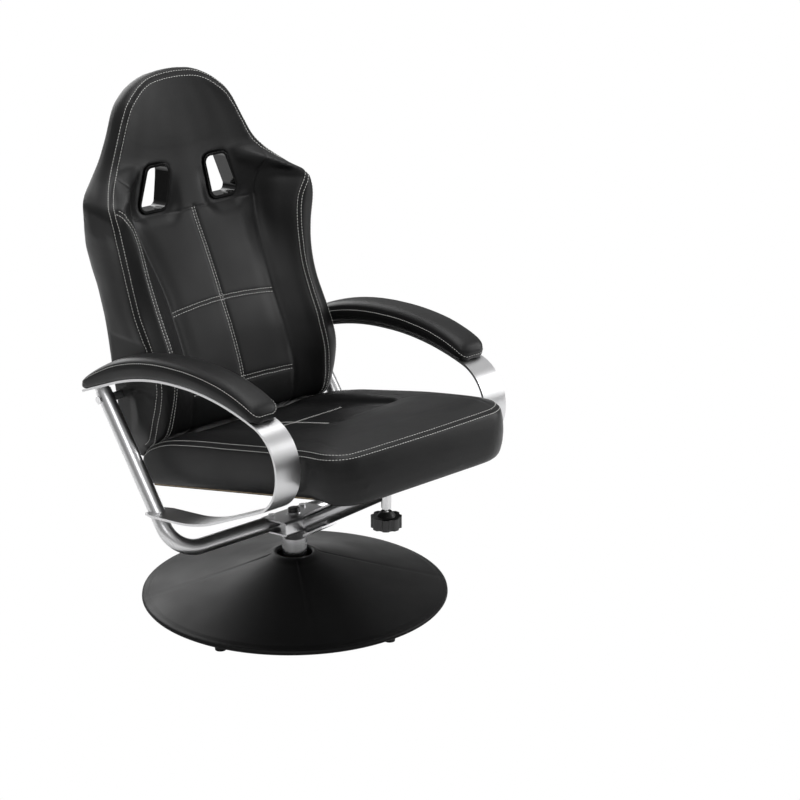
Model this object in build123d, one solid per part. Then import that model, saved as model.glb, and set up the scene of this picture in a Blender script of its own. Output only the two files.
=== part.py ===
from build123d import *
from math import cos, hypot, radians, sin, tan
import os

# A reclining swivel armchair on a round upholstered base, all sizes in millimetres.
# The chair faces -Y, its left and right are the sitter's: the right side is at -X.
# While it is built, the origin is the swivel axis on the floor.

# Base
base_radius = 320.0
base_foot_height = 16.0
base_foot_radius = 13.0
base_foot_count = 5
base_foot_inset = 30.0
board_thickness = 4.0
dome_wall = 2.0
cover_thickness = 4.0
rim_height = 7.0
rim_roundness = 1.0
rim_undercut = 18.0
dome_hole_radius = 37.0
dome_top_height = 106.0
dome_dip = 3.0
hem_width = 26.0
collar_height = 5.0
collar_width = 5.0

# Swivel column
post_radius = 26.0
post_wall = 3.0
post_top = 142.0
flange_radius = 70.0
flange_thickness = 6.0
flange_bolt_circle = 50.0
flange_bolt_radius = 4.0
flange_bolt_count = 4
bolt_head_share = 1.75
bolt_head_height_share = 1.1
spindle_radius = 16.0
spindle_bottom = 46.0
shoulder_radius = 22.4
running_clearance = 0.05
touch_gap = 0.3
bush_length = 26.0
bush_flange_gap = 40.0
thrust_washer_thickness = 3.0
bush_screw_radius = 2.5
bush_screw_angles = (-58.0, -38.0)
bush_screw_height = 128.0

# Channel on top of the column
channel_tilt = 7.0
channel_length = 124.0
channel_depth = 78.0
channel_height = 30.0
channel_wall = 3.5
channel_front = 46.0
channel_top = 194.0
channel_corner = 6.0
centre_bolt_radius = 6.0
centre_bolt_head_radius = 12.5
centre_bolt_head_height = 9.0
centre_washer_radius = 15.0
centre_washer_thickness = 2.0
centre_bolt_thread = 26.0

# Side frames: tubes, flat arm bars and their pads
tube_radius = 16.5
tube_wall = 2.0
arm_centre = 277.0
tube_top = (269.0, 459.0)
tube_knee = (46.0, 166.0)
tube_end = (20.0, 176.0)
tube_bend_radius = 62.0
spigot_radius = 10.8
spigot_length = 34.0
spigot_hold = 30.0
spigot_bolt_radius = 4.0
spigot_bolt_inset = 20.0
bar_width = 60.0
bar_thickness = 5.0
bar_start = (112.0, 240.0)
bar_low_corner = (-60.0, 262.0)
bar_front = -306.0
bar_low_front_height = 374.0
bar_high_front_height = 502.0
bar_high_corner = (-130.0, 553.0)
bar_rear_corner = (101.0, 538.0)
bar_end = (300.0, 457.0)
bar_low_radius = 420.0
bar_front_round_share = 0.98
bar_top_round_share = 0.933
bar_start_taper = 26.0
plug_height = 14.0
pad_board_thickness = 9.0
pad_board_width = 52.0
pad_width = 74.0
pad_height = 44.0
pad_foot_width = 58.0
pad_bar_gap = 0.1
pad_front_share = 0.52
pad_rear_share = 0.992
pad_screw_radius = 2.5
pad_screw_shares = (0.14, 0.5, 0.8)
pad_station_shares = (
    (0.0, 0.66, 0.50),
    (0.01, 0.86, 0.66),
    (0.03, 0.97, 0.79),
    (0.08, 1.0, 0.90),
    (0.15, 1.0, 0.97),
    (0.25, 1.0, 1.0),
    (0.4, 1.0, 1.0),
    (0.55, 1.0, 1.0),
    (0.69, 1.0, 0.98),
    (0.78, 1.0, 0.93),
    (0.88, 0.99, 0.78),
    (0.95, 0.97, 0.58),
    (0.985, 0.88, 0.44),
    (1.0, 0.70, 0.32),
)

# Front support tube and clamp
support_start_height = 181.0
support_end = (-270.0, 316.0)
gusset_width = 40.0
gusset_thickness = 4.0
gusset_top_length = 112.0
gusset_bottom_length = 62.0
saddle_width = 43.4
saddle_length = 66.0
saddle_height = 26.0
saddle_clearance = 3.0
saddle_front = -296.0
barrel_radius = 10.5
barrel_bottom = 285.0
clamp_axis_y = -281.0
stud_radius = 4.0
shoe_radius = 8.5
shoe_thickness = 3.0
shoe_gap = 0.1
knob_radius = 31.0
knob_height = 24.0
knob_bottom = 245.0
knob_lobe_count = 8
knob_scallop_radius = 8.0
knob_hub_radius = 11.0
knob_hub_height = 10.0
knob_insert_radius = 7.0
guide_bolt_radius = 4.0
guide_bolt_forward = 22.0
clamp_travel = 3.0

# Recline and slide
recline_angle = 25.0
pivot = (260.0, 444.0)
hinge_drop = 144.0
slide_angle = recline_angle / 2
slide_travel = 2 * hinge_drop * sin(radians(slide_angle))

# Seat, in its own frame: Y runs back and Z up, both tilted with the slide
seat_underside_height = 302.0
seat_half_width = 238.0
seat_front = -432.0
seat_rear = 200.0
seat_thickness = 110.0
seat_side_height = 102.0
seat_front_height = 86.0
seat_front_round = 6.0
seat_front_rise = 60.0
seat_middle = -15.0
seat_rear_crest = 94.0
seat_rear_crest_height = 102.0
seat_rear_bend = 150.0
seat_rear_bend_height = 92.0
seat_rear_shoulder = 178.0
seat_rear_shoulder_height = 79.0
seat_rear_height = 69.0
seat_lip_drop = 18.0
seat_lip_run = 30.0
seat_rear_lean = 6.0
recess_depth = 22.0
recess_half_width = 140.0
recess_front = -196.0
recess_wall = 40.0
seat_corner_radius = 58.0
seat_draw_in = 9.0
seat_front_bow = 8.0
seat_board_thickness = 15.0
seat_board_inset = 16.0
seat_board_front = -352.0
dust_cover_thickness = 1.5
rail_width = 50.0
rail_wall = 3.0
rail_height = 32.0
rail_front = -346.0
rail_rear = -96.0
rail_cap_length = 7.0
rail_screw_radius = 3.0
rail_screw_inset = 22.0
lug_spacing = 62.0
lug_thickness = 5.0
lug_width = 18.0
lug_drop = 14.0
lug_clear = 1.0
hinge_pin_radius = 4.0
slot_clearance = 0.5

# Back
back_bottom = 314.0
back_top = 1067.0
back_half_width = 262.0
back_reach = 372.0
back_pad_depth = 100.0
back_foot_y = 150.0
back_front_round = 10.0
back_board_thickness = 12.0
back_board_inset = 26.0
rear_pad_thickness = 14.0
hole_tilt = 4.5
hole_front = 323.0
hole_top_height = 882.0
hole_bottom_height = 796.0
hole_top_inner = 48.0
hole_top_outer = 100.0
hole_bottom_inner = 63.0
hole_bottom_outer = 130.0
hole_corner_radius = 13.0
hole_rear_relief = 7.0
bezel_wall = 2.5
bezel_lip = 3.0
bezel_stand_off = 2.0
bezel_depth = 41.0
bezel_edge_round = 0.8
bracket_thickness = 4.0
bracket_height = 56.0
bracket_flange = 46.0
bracket_rear_pad = 8.0
bracket_boss_radius = 9.0
bracket_screw_inset = 12.0
bracket_screw_spread = 16.0
bracket_screw_radius = 3.0
pivot_bolt_radius = 5.0
pivot_sleeve_radius = 9.0
pivot_head_radius = 8.5
pivot_head_height = 4.0
nut_height = 8.0

cut_overrun = 20.0

# Where the swivel axis stands, so that the origin is the middle of the whole chair's box
swivel_set_back = 7.0


def side_wire(points, x=0.0):
    """A closed outline in the Y-Z plane at x, through (y, z) points."""
    return Wire.make_polygon([(x, y, z) for y, z in points])


def side_plate(points, half_width, x=0.0, corner=0.0):
    """A solid with the given outline seen from the side, centred on x."""
    face = Face(side_wire(points, x - half_width))
    if corner > 0:
        face = face.fillet_2d(corner, face.vertices())
    return Solid.extrude(face, Vector(2 * half_width, 0, 0))


def rod(start, end, radius):
    """A round bar between two points."""
    start = Vector(*start)
    end = Vector(*end)
    plane = Plane(start, z_dir=end - start)
    return Solid.make_cylinder(radius, (end - start).length, plane)


def pipe(start, end, radius, bore):
    """A round tube between two points."""
    start = Vector(*start)
    end = Vector(*end)
    reach = (end - start).normalized() * cut_overrun
    return rod(start, end, radius) - rod(start - reach, end + reach, bore)


def block(x_range, y_range, z_range):
    """A box between limits."""
    size = [high - low for low, high in (x_range, y_range, z_range)]
    corner = Plane((x_range[0], y_range[0], z_range[0]))
    return Solid.make_box(*size, corner)


def swept(section, path):
    """A section face swept along a path of lines and arcs."""
    return sweep(section, path=path)


def mirrored(shape):
    """The same shape on the other side of the chair."""
    return shape.mirror(Plane.YZ)


def seat_place(shape):
    """From the seat's own frame into the chair's: tilted, on the slide's line."""
    return Location((0, 0, seat_underside_height), (-slide_angle, 0, 0)) * shape


def seat_point(y, z):
    """A point of the seat's frame as (y, z) of the chair."""
    tilt = radians(slide_angle)
    along = y * cos(tilt) + z * sin(tilt)
    height = seat_underside_height - y * sin(tilt) + z * cos(tilt)
    return along, height


def channel_place(shape):
    """From the channel's own frame into the chair's: its top face passes through the axis."""
    return Location((0, 0, channel_top), (-channel_tilt, 0, 0)) * shape


def pair(shape):
    """A shape and its mirror image as one group of separate solids."""
    return group([shape, mirrored(shape)])


def group(shapes):
    """Separate solids under one name."""
    return Compound([solid for shape in shapes for solid in shape.solids()])


# Base

base_foot_circle = base_radius - base_foot_inset
board_radius = base_radius - rim_roundness - cover_thickness
rim_bottom_radius = base_radius - rim_undercut
board_bottom = base_foot_height
board_top = board_bottom + board_thickness
rim_top = board_bottom + rim_height


def base_feet():
    feet = []
    for i in range(base_foot_count):
        angle = radians(-90 + 360 * i / base_foot_count)
        x = base_foot_circle * cos(angle)
        y = base_foot_circle * sin(angle)
        foot = Solid.make_cone(
            base_foot_radius * 0.86, base_foot_radius, base_foot_height, Plane((x, y, 0))
        )
        feet.append(foot)
    return group(feet)


def base_board():
    board = Solid.make_cylinder(board_radius, board_thickness, Plane((0, 0, board_bottom)))
    for i in range(flange_bolt_count):
        angle = radians(45 + 360 * i / flange_bolt_count)
        x = flange_bolt_circle * cos(angle)
        y = flange_bolt_circle * sin(angle)
        board -= rod((x, y, 0), (x, y, board_top + cut_overrun), flange_bolt_radius + running_clearance)
    return board


def dome_arc(offset):
    """The dome's slope, from the rim to the hole, at an offset below the cover."""
    outer = Vector(base_radius - rim_roundness - offset, 0, rim_top)
    inner = Vector(dome_hole_radius, 0, dome_top_height - offset)
    middle = (outer + inner) * 0.5 - Vector(0, 0, dome_dip)
    return outer, middle, inner


def base_dome():
    """The pressed steel dome that stands on the board and carries the cover."""
    outer, middle, inner = dome_arc(cover_thickness)
    drop = Vector(0, 0, -dome_wall)
    step = Vector(-dome_wall, 0, 0)
    foot = Vector(outer.X, 0, board_top)
    edges = [
        ThreePointArc(outer, middle, inner),
        Line(inner, inner + drop),
        ThreePointArc(inner + drop, middle + drop, outer + drop + step),
        Line(outer + drop + step, foot + step),
        Line(foot + step, foot),
        Line(foot, outer),
    ]
    return revolve(make_face(edges), Axis.Z)


def base_cover():
    """The leatherette cover: over the dome, round the rim and hemmed under the board."""
    outer, middle, inner = dome_arc(0)
    low_outer, low_middle, low_inner = dome_arc(cover_thickness)
    rim_bottom = Vector(rim_bottom_radius, 0, board_bottom - cover_thickness)
    hem_in = Vector(board_radius - hem_width, 0, rim_bottom.Z)
    hem_up = Vector(hem_in.X, 0, board_bottom)
    under = Vector(low_outer.X, 0, board_bottom)
    bulge = Vector(base_radius, 0, (2 * rim_top + rim_bottom.Z) / 3)
    edges = [
        ThreePointArc(inner, middle, outer),
        ThreePointArc(outer, bulge, rim_bottom),
        Line(rim_bottom, hem_in),
        Line(hem_in, hem_up),
        Line(hem_up, under),
        Line(under, low_outer),
        ThreePointArc(low_outer, low_middle, low_inner),
        Line(low_inner, inner),
    ]
    cover = revolve(make_face(edges), Axis.Z)
    for foot in base_feet().solids():
        x, y = foot.center().X, foot.center().Y
        cover -= rod((x, y, -cut_overrun), (x, y, board_bottom), base_foot_radius + running_clearance)
    return cover


def base_collar():
    """The trim ring round the hole in the cover."""
    top = dome_top_height
    return pipe((0, 0, top), (0, 0, top + collar_height), dome_hole_radius, dome_hole_radius - collar_width)


def post_flange():
    """The steel disc that holds the post down on the board."""
    top = board_top + flange_thickness
    flange = pipe((0, 0, board_top), (0, 0, top), flange_radius, post_radius + running_clearance)
    for i in range(flange_bolt_count):
        angle = radians(45 + 360 * i / flange_bolt_count)
        x = flange_bolt_circle * cos(angle)
        y = flange_bolt_circle * sin(angle)
        hole_radius = flange_bolt_radius + running_clearance
        flange -= rod((x, y, board_bottom), (x, y, top + cut_overrun), hole_radius)
    return flange


def flange_bolts():
    bolts = []
    top = board_top + flange_thickness
    head = flange_bolt_radius * bolt_head_share
    for i in range(flange_bolt_count):
        angle = radians(45 + 360 * i / flange_bolt_count)
        x = flange_bolt_circle * cos(angle)
        y = flange_bolt_circle * sin(angle)
        shank = rod((x, y, board_bottom), (x, y, top), flange_bolt_radius)
        cap = rod((x, y, top), (x, y, top + flange_bolt_radius * bolt_head_height_share), head)
        bolts.append(shank + cap)
    return group(bolts)


def post_tube():
    return pipe((0, 0, board_top), (0, 0, post_top), post_radius, post_radius - post_wall)


bush_outer = post_radius - post_wall - running_clearance
bush_bore = spindle_radius + running_clearance
washer_bottom = post_top - thrust_washer_thickness
upper_bush_bottom = washer_bottom - bush_length
lower_bush_bottom = upper_bush_bottom - bush_flange_gap - bush_length / 2


def post_bushes():
    """Two plastic bushes pressed into the post, which the spindle turns in."""
    upper = pipe((0, 0, upper_bush_bottom), (0, 0, washer_bottom), bush_outer, bush_bore)
    lower_top = lower_bush_bottom + bush_length
    lower = pipe((0, 0, lower_bush_bottom), (0, 0, lower_top), bush_outer, bush_bore)
    return group([upper - bush_screw_cuts(), lower])


def thrust_washer():
    return pipe((0, 0, washer_bottom), (0, 0, post_top), bush_outer, bush_bore)


def bush_screw_cuts():
    cuts = None
    for angle in bush_screw_angles:
        direction = (cos(radians(angle)), sin(radians(angle)))
        inner = post_radius - post_wall * 2
        start = (inner * direction[0], inner * direction[1], bush_screw_height)
        outer = post_radius + cut_overrun
        end = (outer * direction[0], outer * direction[1], bush_screw_height)
        cut = rod(start, end, bush_screw_radius + running_clearance)
        cuts = cut if cuts is None else cuts + cut
    return cuts


def bush_screws():
    """Two small screws through the post that hold the upper bush."""
    screws = []
    for angle in bush_screw_angles:
        direction = Vector(cos(radians(angle)), sin(radians(angle)), 0)
        centre = Vector(0, 0, bush_screw_height)
        start = centre + direction * (post_radius - post_wall * 1.8)
        seat = centre + direction * (post_radius - bush_screw_radius * 0.4)
        end = seat + direction * (bush_screw_radius * 0.8)
        shank = rod(start, end, bush_screw_radius)
        head = rod(seat, end, bush_screw_radius * bolt_head_share)
        low, high = bush_screw_height - cut_overrun, bush_screw_height + cut_overrun
        ring = rod((0, 0, low), (0, 0, high), post_radius + running_clearance)
        screws.append(shank + (head - ring))
    return group(screws)


centre_bolt_hole = centre_bolt_radius + running_clearance


def spindle():
    """The rod that turns in the bushes, with the shoulder that carries the channel."""
    shoulder_bottom = post_top + touch_gap
    turned = rod((0, 0, spindle_bottom), (0, 0, channel_top), spindle_radius)
    shoulder = rod((0, 0, shoulder_bottom), (0, 0, channel_top), shoulder_radius)
    reach = channel_length
    above = channel_place(block((-reach, reach), (-reach, reach), (-channel_height, reach)))
    body = (turned + shoulder) - above
    return body - channel_place(
        rod((0, 0, -channel_height - centre_bolt_thread), (0, 0, cut_overrun), centre_bolt_hole)
    )


def bracket_channel():
    """The C-shaped channel across the column, open to the rear."""
    rear = channel_depth - channel_front
    half = channel_length / 2
    outer = side_plate(
        ((-channel_front, 0), (-channel_front, -channel_height), (rear, -channel_height), (rear, 0)), half
    )
    front_edges = outer.edges().filter_by(Axis.X).sort_by(Axis.Y)[:2]
    outer = outer.fillet(channel_corner, front_edges)
    wall = channel_wall
    inner = block(
        (-half - cut_overrun, half + cut_overrun),
        (-channel_front + wall, rear + cut_overrun),
        (-channel_height + wall, -wall),
    )
    shape = outer - inner
    shape -= rod((0, 0, -channel_height - cut_overrun), (0, 0, cut_overrun), centre_bolt_hole)
    for side in (-1, 1):
        for place in spigot_bolt_places(side):
            shape -= spigot_bolt_hole(place)
    return channel_place(shape)


def channel_local(point):
    """A chair point (x, y, z) in the channel's own frame."""
    x, y, z = point
    tilt = radians(channel_tilt)
    rise = z - channel_top
    return x, y * cos(tilt) - rise * sin(tilt), y * sin(tilt) + rise * cos(tilt)


tube_stop = channel_length / 2 + touch_gap
spigot_local = channel_local((tube_stop, tube_end[0], tube_end[1]))
spigot_y = spigot_local[1]
spigot_z = -channel_height / 2


def spigot_bolt_places(side):
    """Where the bolts cross the channel into the spigots, as (x, y) of its frame."""
    return [(side * (channel_length / 2 - spigot_bolt_inset), spigot_y)]


def spigot_bolt_hole(place):
    radius = spigot_bolt_radius + running_clearance
    return rod((*place, -channel_height - cut_overrun), (*place, cut_overrun), radius)


def centre_bolt():
    """The black-headed bolt through the channel into the spindle."""
    head_bottom = centre_washer_thickness
    shank = rod((0, 0, -channel_height - centre_bolt_thread), (0, 0, head_bottom), centre_bolt_radius)
    head = rod((0, 0, head_bottom), (0, 0, head_bottom + centre_bolt_head_height), centre_bolt_head_radius)
    head = head.fillet(centre_bolt_head_height * 0.3, head.edges().group_by(Axis.Z)[-1])
    return channel_place(shank + head)


def centre_washer():
    top = (0, 0, centre_washer_thickness)
    return channel_place(pipe((0, 0, 0), top, centre_washer_radius, centre_bolt_hole))


def channel_spacer():
    """The short tube round the bolt that keeps the channel from closing."""
    inner_bottom = -channel_height + channel_wall
    inner_top = (0, 0, -channel_wall)
    return channel_place(pipe((0, 0, inner_bottom), inner_top, centre_bolt_radius * 1.6, centre_bolt_hole))


# Side frames

def tube_path():
    """The centre line of the right tube: down, round the knee and in to the channel."""
    stop = channel_place(Location((-tube_stop, spigot_y, spigot_z))).position
    top = Vector(-arm_centre, *tube_top)
    knee = Vector(-arm_centre, *tube_knee)
    return FilletPolyline(top, knee, stop, radius=tube_bend_radius)


def tube_body(radius):
    path = tube_path()
    start = path.edges()[0]
    plane = Plane(start @ 0, z_dir=start % 0)
    return swept(plane * Circle(radius), path)


def half_turn(points, index):
    """The tangent of half the angle that an outline turns by at one of its corners."""
    before, corner, after = [Vector(*point, 0) for point in points[index - 1 : index + 2]]
    return tan(radians((corner - before).get_angle(after - corner)) / 2)


def shared_radius(points, index, share):
    """The radius of two like rounds that take up a share of the straight between corners."""
    span = (Vector(*points[index + 1]) - Vector(*points[index])).length
    return span * share / (half_turn(points, index) + half_turn(points, index + 1))


def bar_path():
    """The centre line of the flat arm bar, from the tube's foot round to behind its top."""
    points = (
        bar_start,
        bar_low_corner,
        (bar_front, bar_low_front_height),
        (bar_front, bar_high_front_height),
        bar_high_corner,
        bar_rear_corner,
        bar_end,
    )
    front_radius = shared_radius(points, 2, bar_front_round_share)
    top_radius = shared_radius(points, 4, bar_top_round_share)
    radii = (bar_low_radius, front_radius, front_radius, top_radius, top_radius)
    return FilletPolyline([(-arm_centre, y, z) for y, z in points], radius=radii)


def bar_station(share):
    """A plane across the bar at a share of its length: X to the left, Y out of the loop."""
    path = bar_path()
    point = path @ share
    along = path % share
    return Plane(point, x_dir=(1, 0, 0), z_dir=along)


def arm_bar():
    plane = bar_station(0)
    section = plane * Rectangle(bar_width, bar_thickness)
    bar = swept(section, bar_path())
    bar -= tube_body(tube_radius + running_clearance)
    keep_out = block(
        (-arm_centre - bar_width, -arm_centre + bar_width),
        (bar_start[0] - bar_start_taper, bar_start[0] + bar_start_taper),
        (bar_start[1] - bar_width, bar_start[1] + bar_width),
    )
    taper = side_taper()
    bar -= keep_out & taper
    return largest(bar - pad_screw_holes())


def bar_room():
    """The space that the bar takes out of the pad and its board."""
    plane = bar_station(0)
    section = plane * Rectangle(bar_width + 2 * pad_bar_gap, bar_thickness + 2 * pad_bar_gap)
    return swept(section, bar_path())


def side_taper():
    """Wedges that narrow the bar's foot towards the tube."""
    inner = tube_radius
    outer = bar_width / 2 + cut_overrun
    rise = bar_width
    wedges = []
    for side in (-1, 1):
        corners = [
            (-arm_centre + side * inner, bar_start[0] + bar_start_taper),
            (-arm_centre + side * outer, bar_start[0] + bar_start_taper),
            (-arm_centre + side * outer, bar_start[0] - bar_start_taper),
            (-arm_centre + side * bar_width / 2, bar_start[0] - bar_start_taper),
        ]
        wire = Wire.make_polygon([(x, y, bar_start[1] - rise) for x, y in corners])
        wedges.append(Solid.extrude(Face(wire), Vector(0, 0, 2 * rise)))
    return wedges[0] + wedges[1]


def largest(shape):
    """The largest solid of a cut shape."""
    return sorted(shape.solids(), key=lambda solid: solid.volume)[-1]


def side_tube():
    """A bent tube: upright under the arm, knee and run to the channel, with its end plug."""
    tube = tube_body(tube_radius) - tube_body(tube_radius - tube_wall)
    under_bar = bar_under_cut()
    channel_zone = block(
        (-tube_stop, tube_stop), (-channel_length, channel_length), (0, bar_width + tube_knee[1])
    )
    return largest(tube - under_bar - pivot_holes() - channel_zone)


def bar_under_cut():
    """Everything above the bar's underside near the tube's top."""
    plane = bar_station(pad_rear_share)
    down = -plane.y_dir if plane.y_dir.Z > 0 else plane.y_dir
    tangent = plane.z_dir
    origin = plane.origin + down * (bar_thickness / 2)
    size = 4 * bar_width
    corner = Plane(origin, x_dir=(1, 0, 0), z_dir=-down)
    shape = Solid.make_box(size, size, size, corner)
    return shape.translate(corner.x_dir * (-size / 2) + corner.y_dir * (-size / 2))


def pivot_holes():
    y, z = pivot
    outer = arm_centre + tube_radius + cut_overrun
    inner = arm_centre - tube_radius - cut_overrun
    return rod((-outer, y, z), (-inner, y, z), pivot_bolt_radius + running_clearance)


def tube_saddle():
    """The plug in the tube's top that is welded under the bar."""
    tube_direction = (Vector(0, *tube_knee) - Vector(0, *tube_top)).normalized()
    top = Vector(-arm_centre, *tube_top) - tube_direction * cut_overrun
    under_bar = bar_under_cut()
    radius = tube_radius - tube_wall - running_clearance
    plug = rod(top, top + tube_direction * (cut_overrun + 2 * plug_height), radius)
    length = (Vector(0, *tube_top) - Vector(0, *pivot)).length
    below = top + tube_direction * (cut_overrun + length - pivot_bolt_radius * 1.6)
    plug -= rod(below, below + tube_direction * (4 * plug_height), tube_radius)
    return largest(plug - under_bar)


def tube_spigots():
    """Turned plugs in the tubes' inner ends that the channel's flanges hold."""
    inner = channel_length / 2 - spigot_length
    start = channel_place(Location((-inner, spigot_y, spigot_z))).position
    stop = channel_place(Location((-tube_stop, spigot_y, spigot_z))).position
    nose = rod(start, stop, spigot_radius)
    run = (tube_path().edges()[-1] % 1).normalized()
    inside = rod(stop - run * spigot_hold, stop, tube_radius - tube_wall - running_clearance)
    inside -= block((-tube_stop, tube_stop), (-channel_length, channel_length), (0, 2 * channel_top))
    shape = nose + inside
    for place in spigot_bolt_places(-1):
        shape -= channel_place(spigot_bolt_hole(place))
    return pair(shape)


def spigot_bolts():
    """Bolts down through the channel and the spigots, with their nuts below."""
    bolts = []
    for side in (-1, 1):
        for place in spigot_bolt_places(side):
            head_radius = spigot_bolt_radius * bolt_head_share
            shank = rod((*place, -channel_height - nut_height), (*place, 0), spigot_bolt_radius)
            head = rod((*place, 0), (*place, spigot_bolt_radius * 0.9), head_radius)
            nut = rod((*place, -channel_height - nut_height * 0.8), (*place, -channel_height), head_radius)
            bolts.append(channel_place(shank + head + nut))
    return group(bolts)


def pad_station(share):
    """The bar's cross plane at a share of the pad, with Y pointing up and out."""
    at = pad_front_share + (pad_rear_share - pad_front_share) * share
    plane = bar_station(at)
    if plane.y_dir.Z < 0:
        plane = Plane(plane.origin, x_dir=-plane.x_dir, z_dir=plane.z_dir)
    return plane


def pad_section(share, width_share, height_share):
    """One section of the arm pad: flat below, drawn-in foot, full sides, crowned top."""
    plane = pad_station(share)
    base = 0
    foot = pad_foot_width / 2 * width_share
    side = pad_width / 2 * width_share
    height = (pad_height + bar_thickness / 2) * height_share
    edges = [
        Line((-foot, base), (foot, base)),
        ThreePointArc((foot, base), (side, base + height * 0.36), (side * 0.84, base + height * 0.74)),
        ThreePointArc(
            (side * 0.84, base + height * 0.74), (0, base + height), (-side * 0.84, base + height * 0.74)
        ),
        ThreePointArc((-side * 0.84, base + height * 0.74), (-side, base + height * 0.36), (-foot, base)),
    ]
    return plane * make_face(edges)


def arm_pad_blank():
    sections = [pad_section(*row) for row in pad_station_shares]
    return largest(loft(sections, ruled=True) - bar_room())


def pad_board():
    """The thin moulded board inside the pad, on the bar's upper face."""
    sections = []
    height = bar_thickness / 2 + pad_board_thickness
    for row in pad_station_shares[2:-2]:
        plane = pad_station(row[0])
        middle = Pos(0, height / 2)
        sections.append(plane * middle * Rectangle(pad_board_width * row[1], height))
    return largest(loft(sections, ruled=True) - bar_room() - pad_screw_holes())


def pad_screw_frames():
    frames = []
    for share in pad_screw_shares:
        plane = pad_station(share)
        frames.append((plane.origin, plane.y_dir))
    return frames


def pad_screw_holes():
    holes = None
    for origin, up in pad_screw_frames():
        low = origin - up * cut_overrun
        high = origin + up * (bar_thickness / 2 + pad_board_thickness * 0.9)
        hole = rod(low, high, pad_screw_radius + running_clearance)
        holes = hole if holes is None else holes + hole
    return holes


def pad_screws():
    """Screws up through the bars into the pads' boards."""
    screws = []
    for origin, up in pad_screw_frames():
        seat = origin - up * (bar_thickness / 2 + running_clearance)
        high = origin + up * (bar_thickness / 2 + pad_board_thickness * 0.8)
        shank = rod(seat, high, pad_screw_radius)
        head = rod(seat - up * pad_screw_radius, seat, pad_screw_radius * bolt_head_share)
        screws.append(shank + head)
    both = screws + [mirrored(screw) for screw in screws]
    return group(both)


# Front support and clamp

support_direction = Vector(0, support_end[0] + channel_front, support_end[1] - support_start_height).normalized()


def support_tube():
    """The tube that rises forward from the channel's web to the saddle."""
    start = Vector(0, -channel_front, support_start_height) - support_direction * cut_overrun
    end = Vector(0, *support_end)
    tube = rod(start, end, tube_radius) - rod(start, end + support_direction, tube_radius - tube_wall)
    reach = channel_length
    behind_web = channel_place(block((-reach, reach), (-channel_front, reach), (-reach, reach)))
    above_saddle = seat_place(block((-reach, reach), (-3 * reach, reach), (saddle_bottom, reach)))
    barrel = rod((0, clamp_axis_y, 0), (0, clamp_axis_y, back_top), barrel_radius + running_clearance)
    return largest(tube - behind_web - above_saddle - barrel)


saddle_top = -rail_wall - saddle_clearance
saddle_bottom = saddle_top - saddle_height


def support_gussets():
    """The two strips welded above and below the support tube, on the channel's web."""
    web = Vector(0, -channel_front, support_start_height)
    plates = []
    normal = Vector(0, -support_direction.Z, support_direction.Y) * -1
    for side, length in ((1, gusset_top_length), (-1, gusset_bottom_length)):
        inner = web + normal * (side * (tube_radius + running_clearance)) - support_direction * cut_overrun
        outer = inner + normal * (side * gusset_thickness)
        far = support_direction * (length + cut_overrun)
        points = [(point.Y, point.Z) for point in (inner, inner + far, outer + far, outer)]
        plates.append(side_plate(points, gusset_width / 2))
    reach = channel_length
    behind_web = channel_place(block((-reach, reach), (-channel_front, reach), (-reach, reach)))
    return group([largest(plate - behind_web) for plate in plates])


def clamp_saddle():
    """The block in the rail that the seat slides on, with the shoe's pocket in its top."""
    half = saddle_width / 2
    rear = saddle_front + saddle_length
    shape = block((-half, half), (saddle_front, rear), (saddle_bottom, saddle_top))
    shape = seat_place(shape)
    shape -= rod((0, clamp_axis_y, 0), (0, clamp_axis_y, back_top), stud_radius + running_clearance)
    pocket_floor = seat_top_at_clamp - clamp_travel - shoe_thickness * 2 - shoe_gap
    shape -= rod(
        (0, clamp_axis_y, pocket_floor), (0, clamp_axis_y, back_top), shoe_radius + touch_gap
    )
    return shape - guide_bolt_hole()


seat_top_at_clamp = seat_underside_height - clamp_axis_y * tan(radians(slide_angle)) - rail_wall / cos(
    radians(slide_angle)
)


def guide_bolt_line():
    y, z = seat_point(saddle_front + saddle_length - guide_bolt_forward, saddle_top - saddle_height / 2)
    return y, z


def guide_bolt_hole():
    y, z = guide_bolt_line()
    half = rail_width
    return rod((-half, y, z), (half, y, z), guide_bolt_radius + running_clearance)


def guide_bolt():
    """The cross bolt that keeps the rail on the saddle, with its nut."""
    y, z = guide_bolt_line()
    side = rail_width / 2 + touch_gap
    head = guide_bolt_radius * bolt_head_share
    shank = rod((-side - nut_height * 0.5, y, z), (side + nut_height, y, z), guide_bolt_radius)
    cap = rod((-side - nut_height * 0.5, y, z), (-side, y, z), head)
    nut = rod((side, y, z), (side + nut_height * 0.8, y, z), head)
    return shank + cap + nut


def clamp_barrel():
    """The long hexagonal nut under the saddle that the knob's stud screws into."""
    top = seat_point(0, saddle_bottom)[1] - clamp_axis_y * tan(radians(slide_angle))
    plane = Plane((0, clamp_axis_y, barrel_bottom))
    blank = extrude(plane * RegularPolygon(barrel_radius, 6), top - barrel_bottom + cut_overrun)
    bore = rod((0, clamp_axis_y, 0), (0, clamp_axis_y, back_top), stud_radius + running_clearance)
    reach = channel_length
    above = seat_place(block((-reach, reach), (-5 * reach, reach), (saddle_bottom, reach)))
    return largest(blank - bore - above)


def clamp_stud():
    """The knob's threaded stud, up through the barrel and the saddle."""
    top = seat_top_at_clamp - shoe_thickness * 1.5 - shoe_gap
    return rod((0, clamp_axis_y, knob_bottom + knob_height / 2), (0, clamp_axis_y, top), stud_radius)


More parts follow.
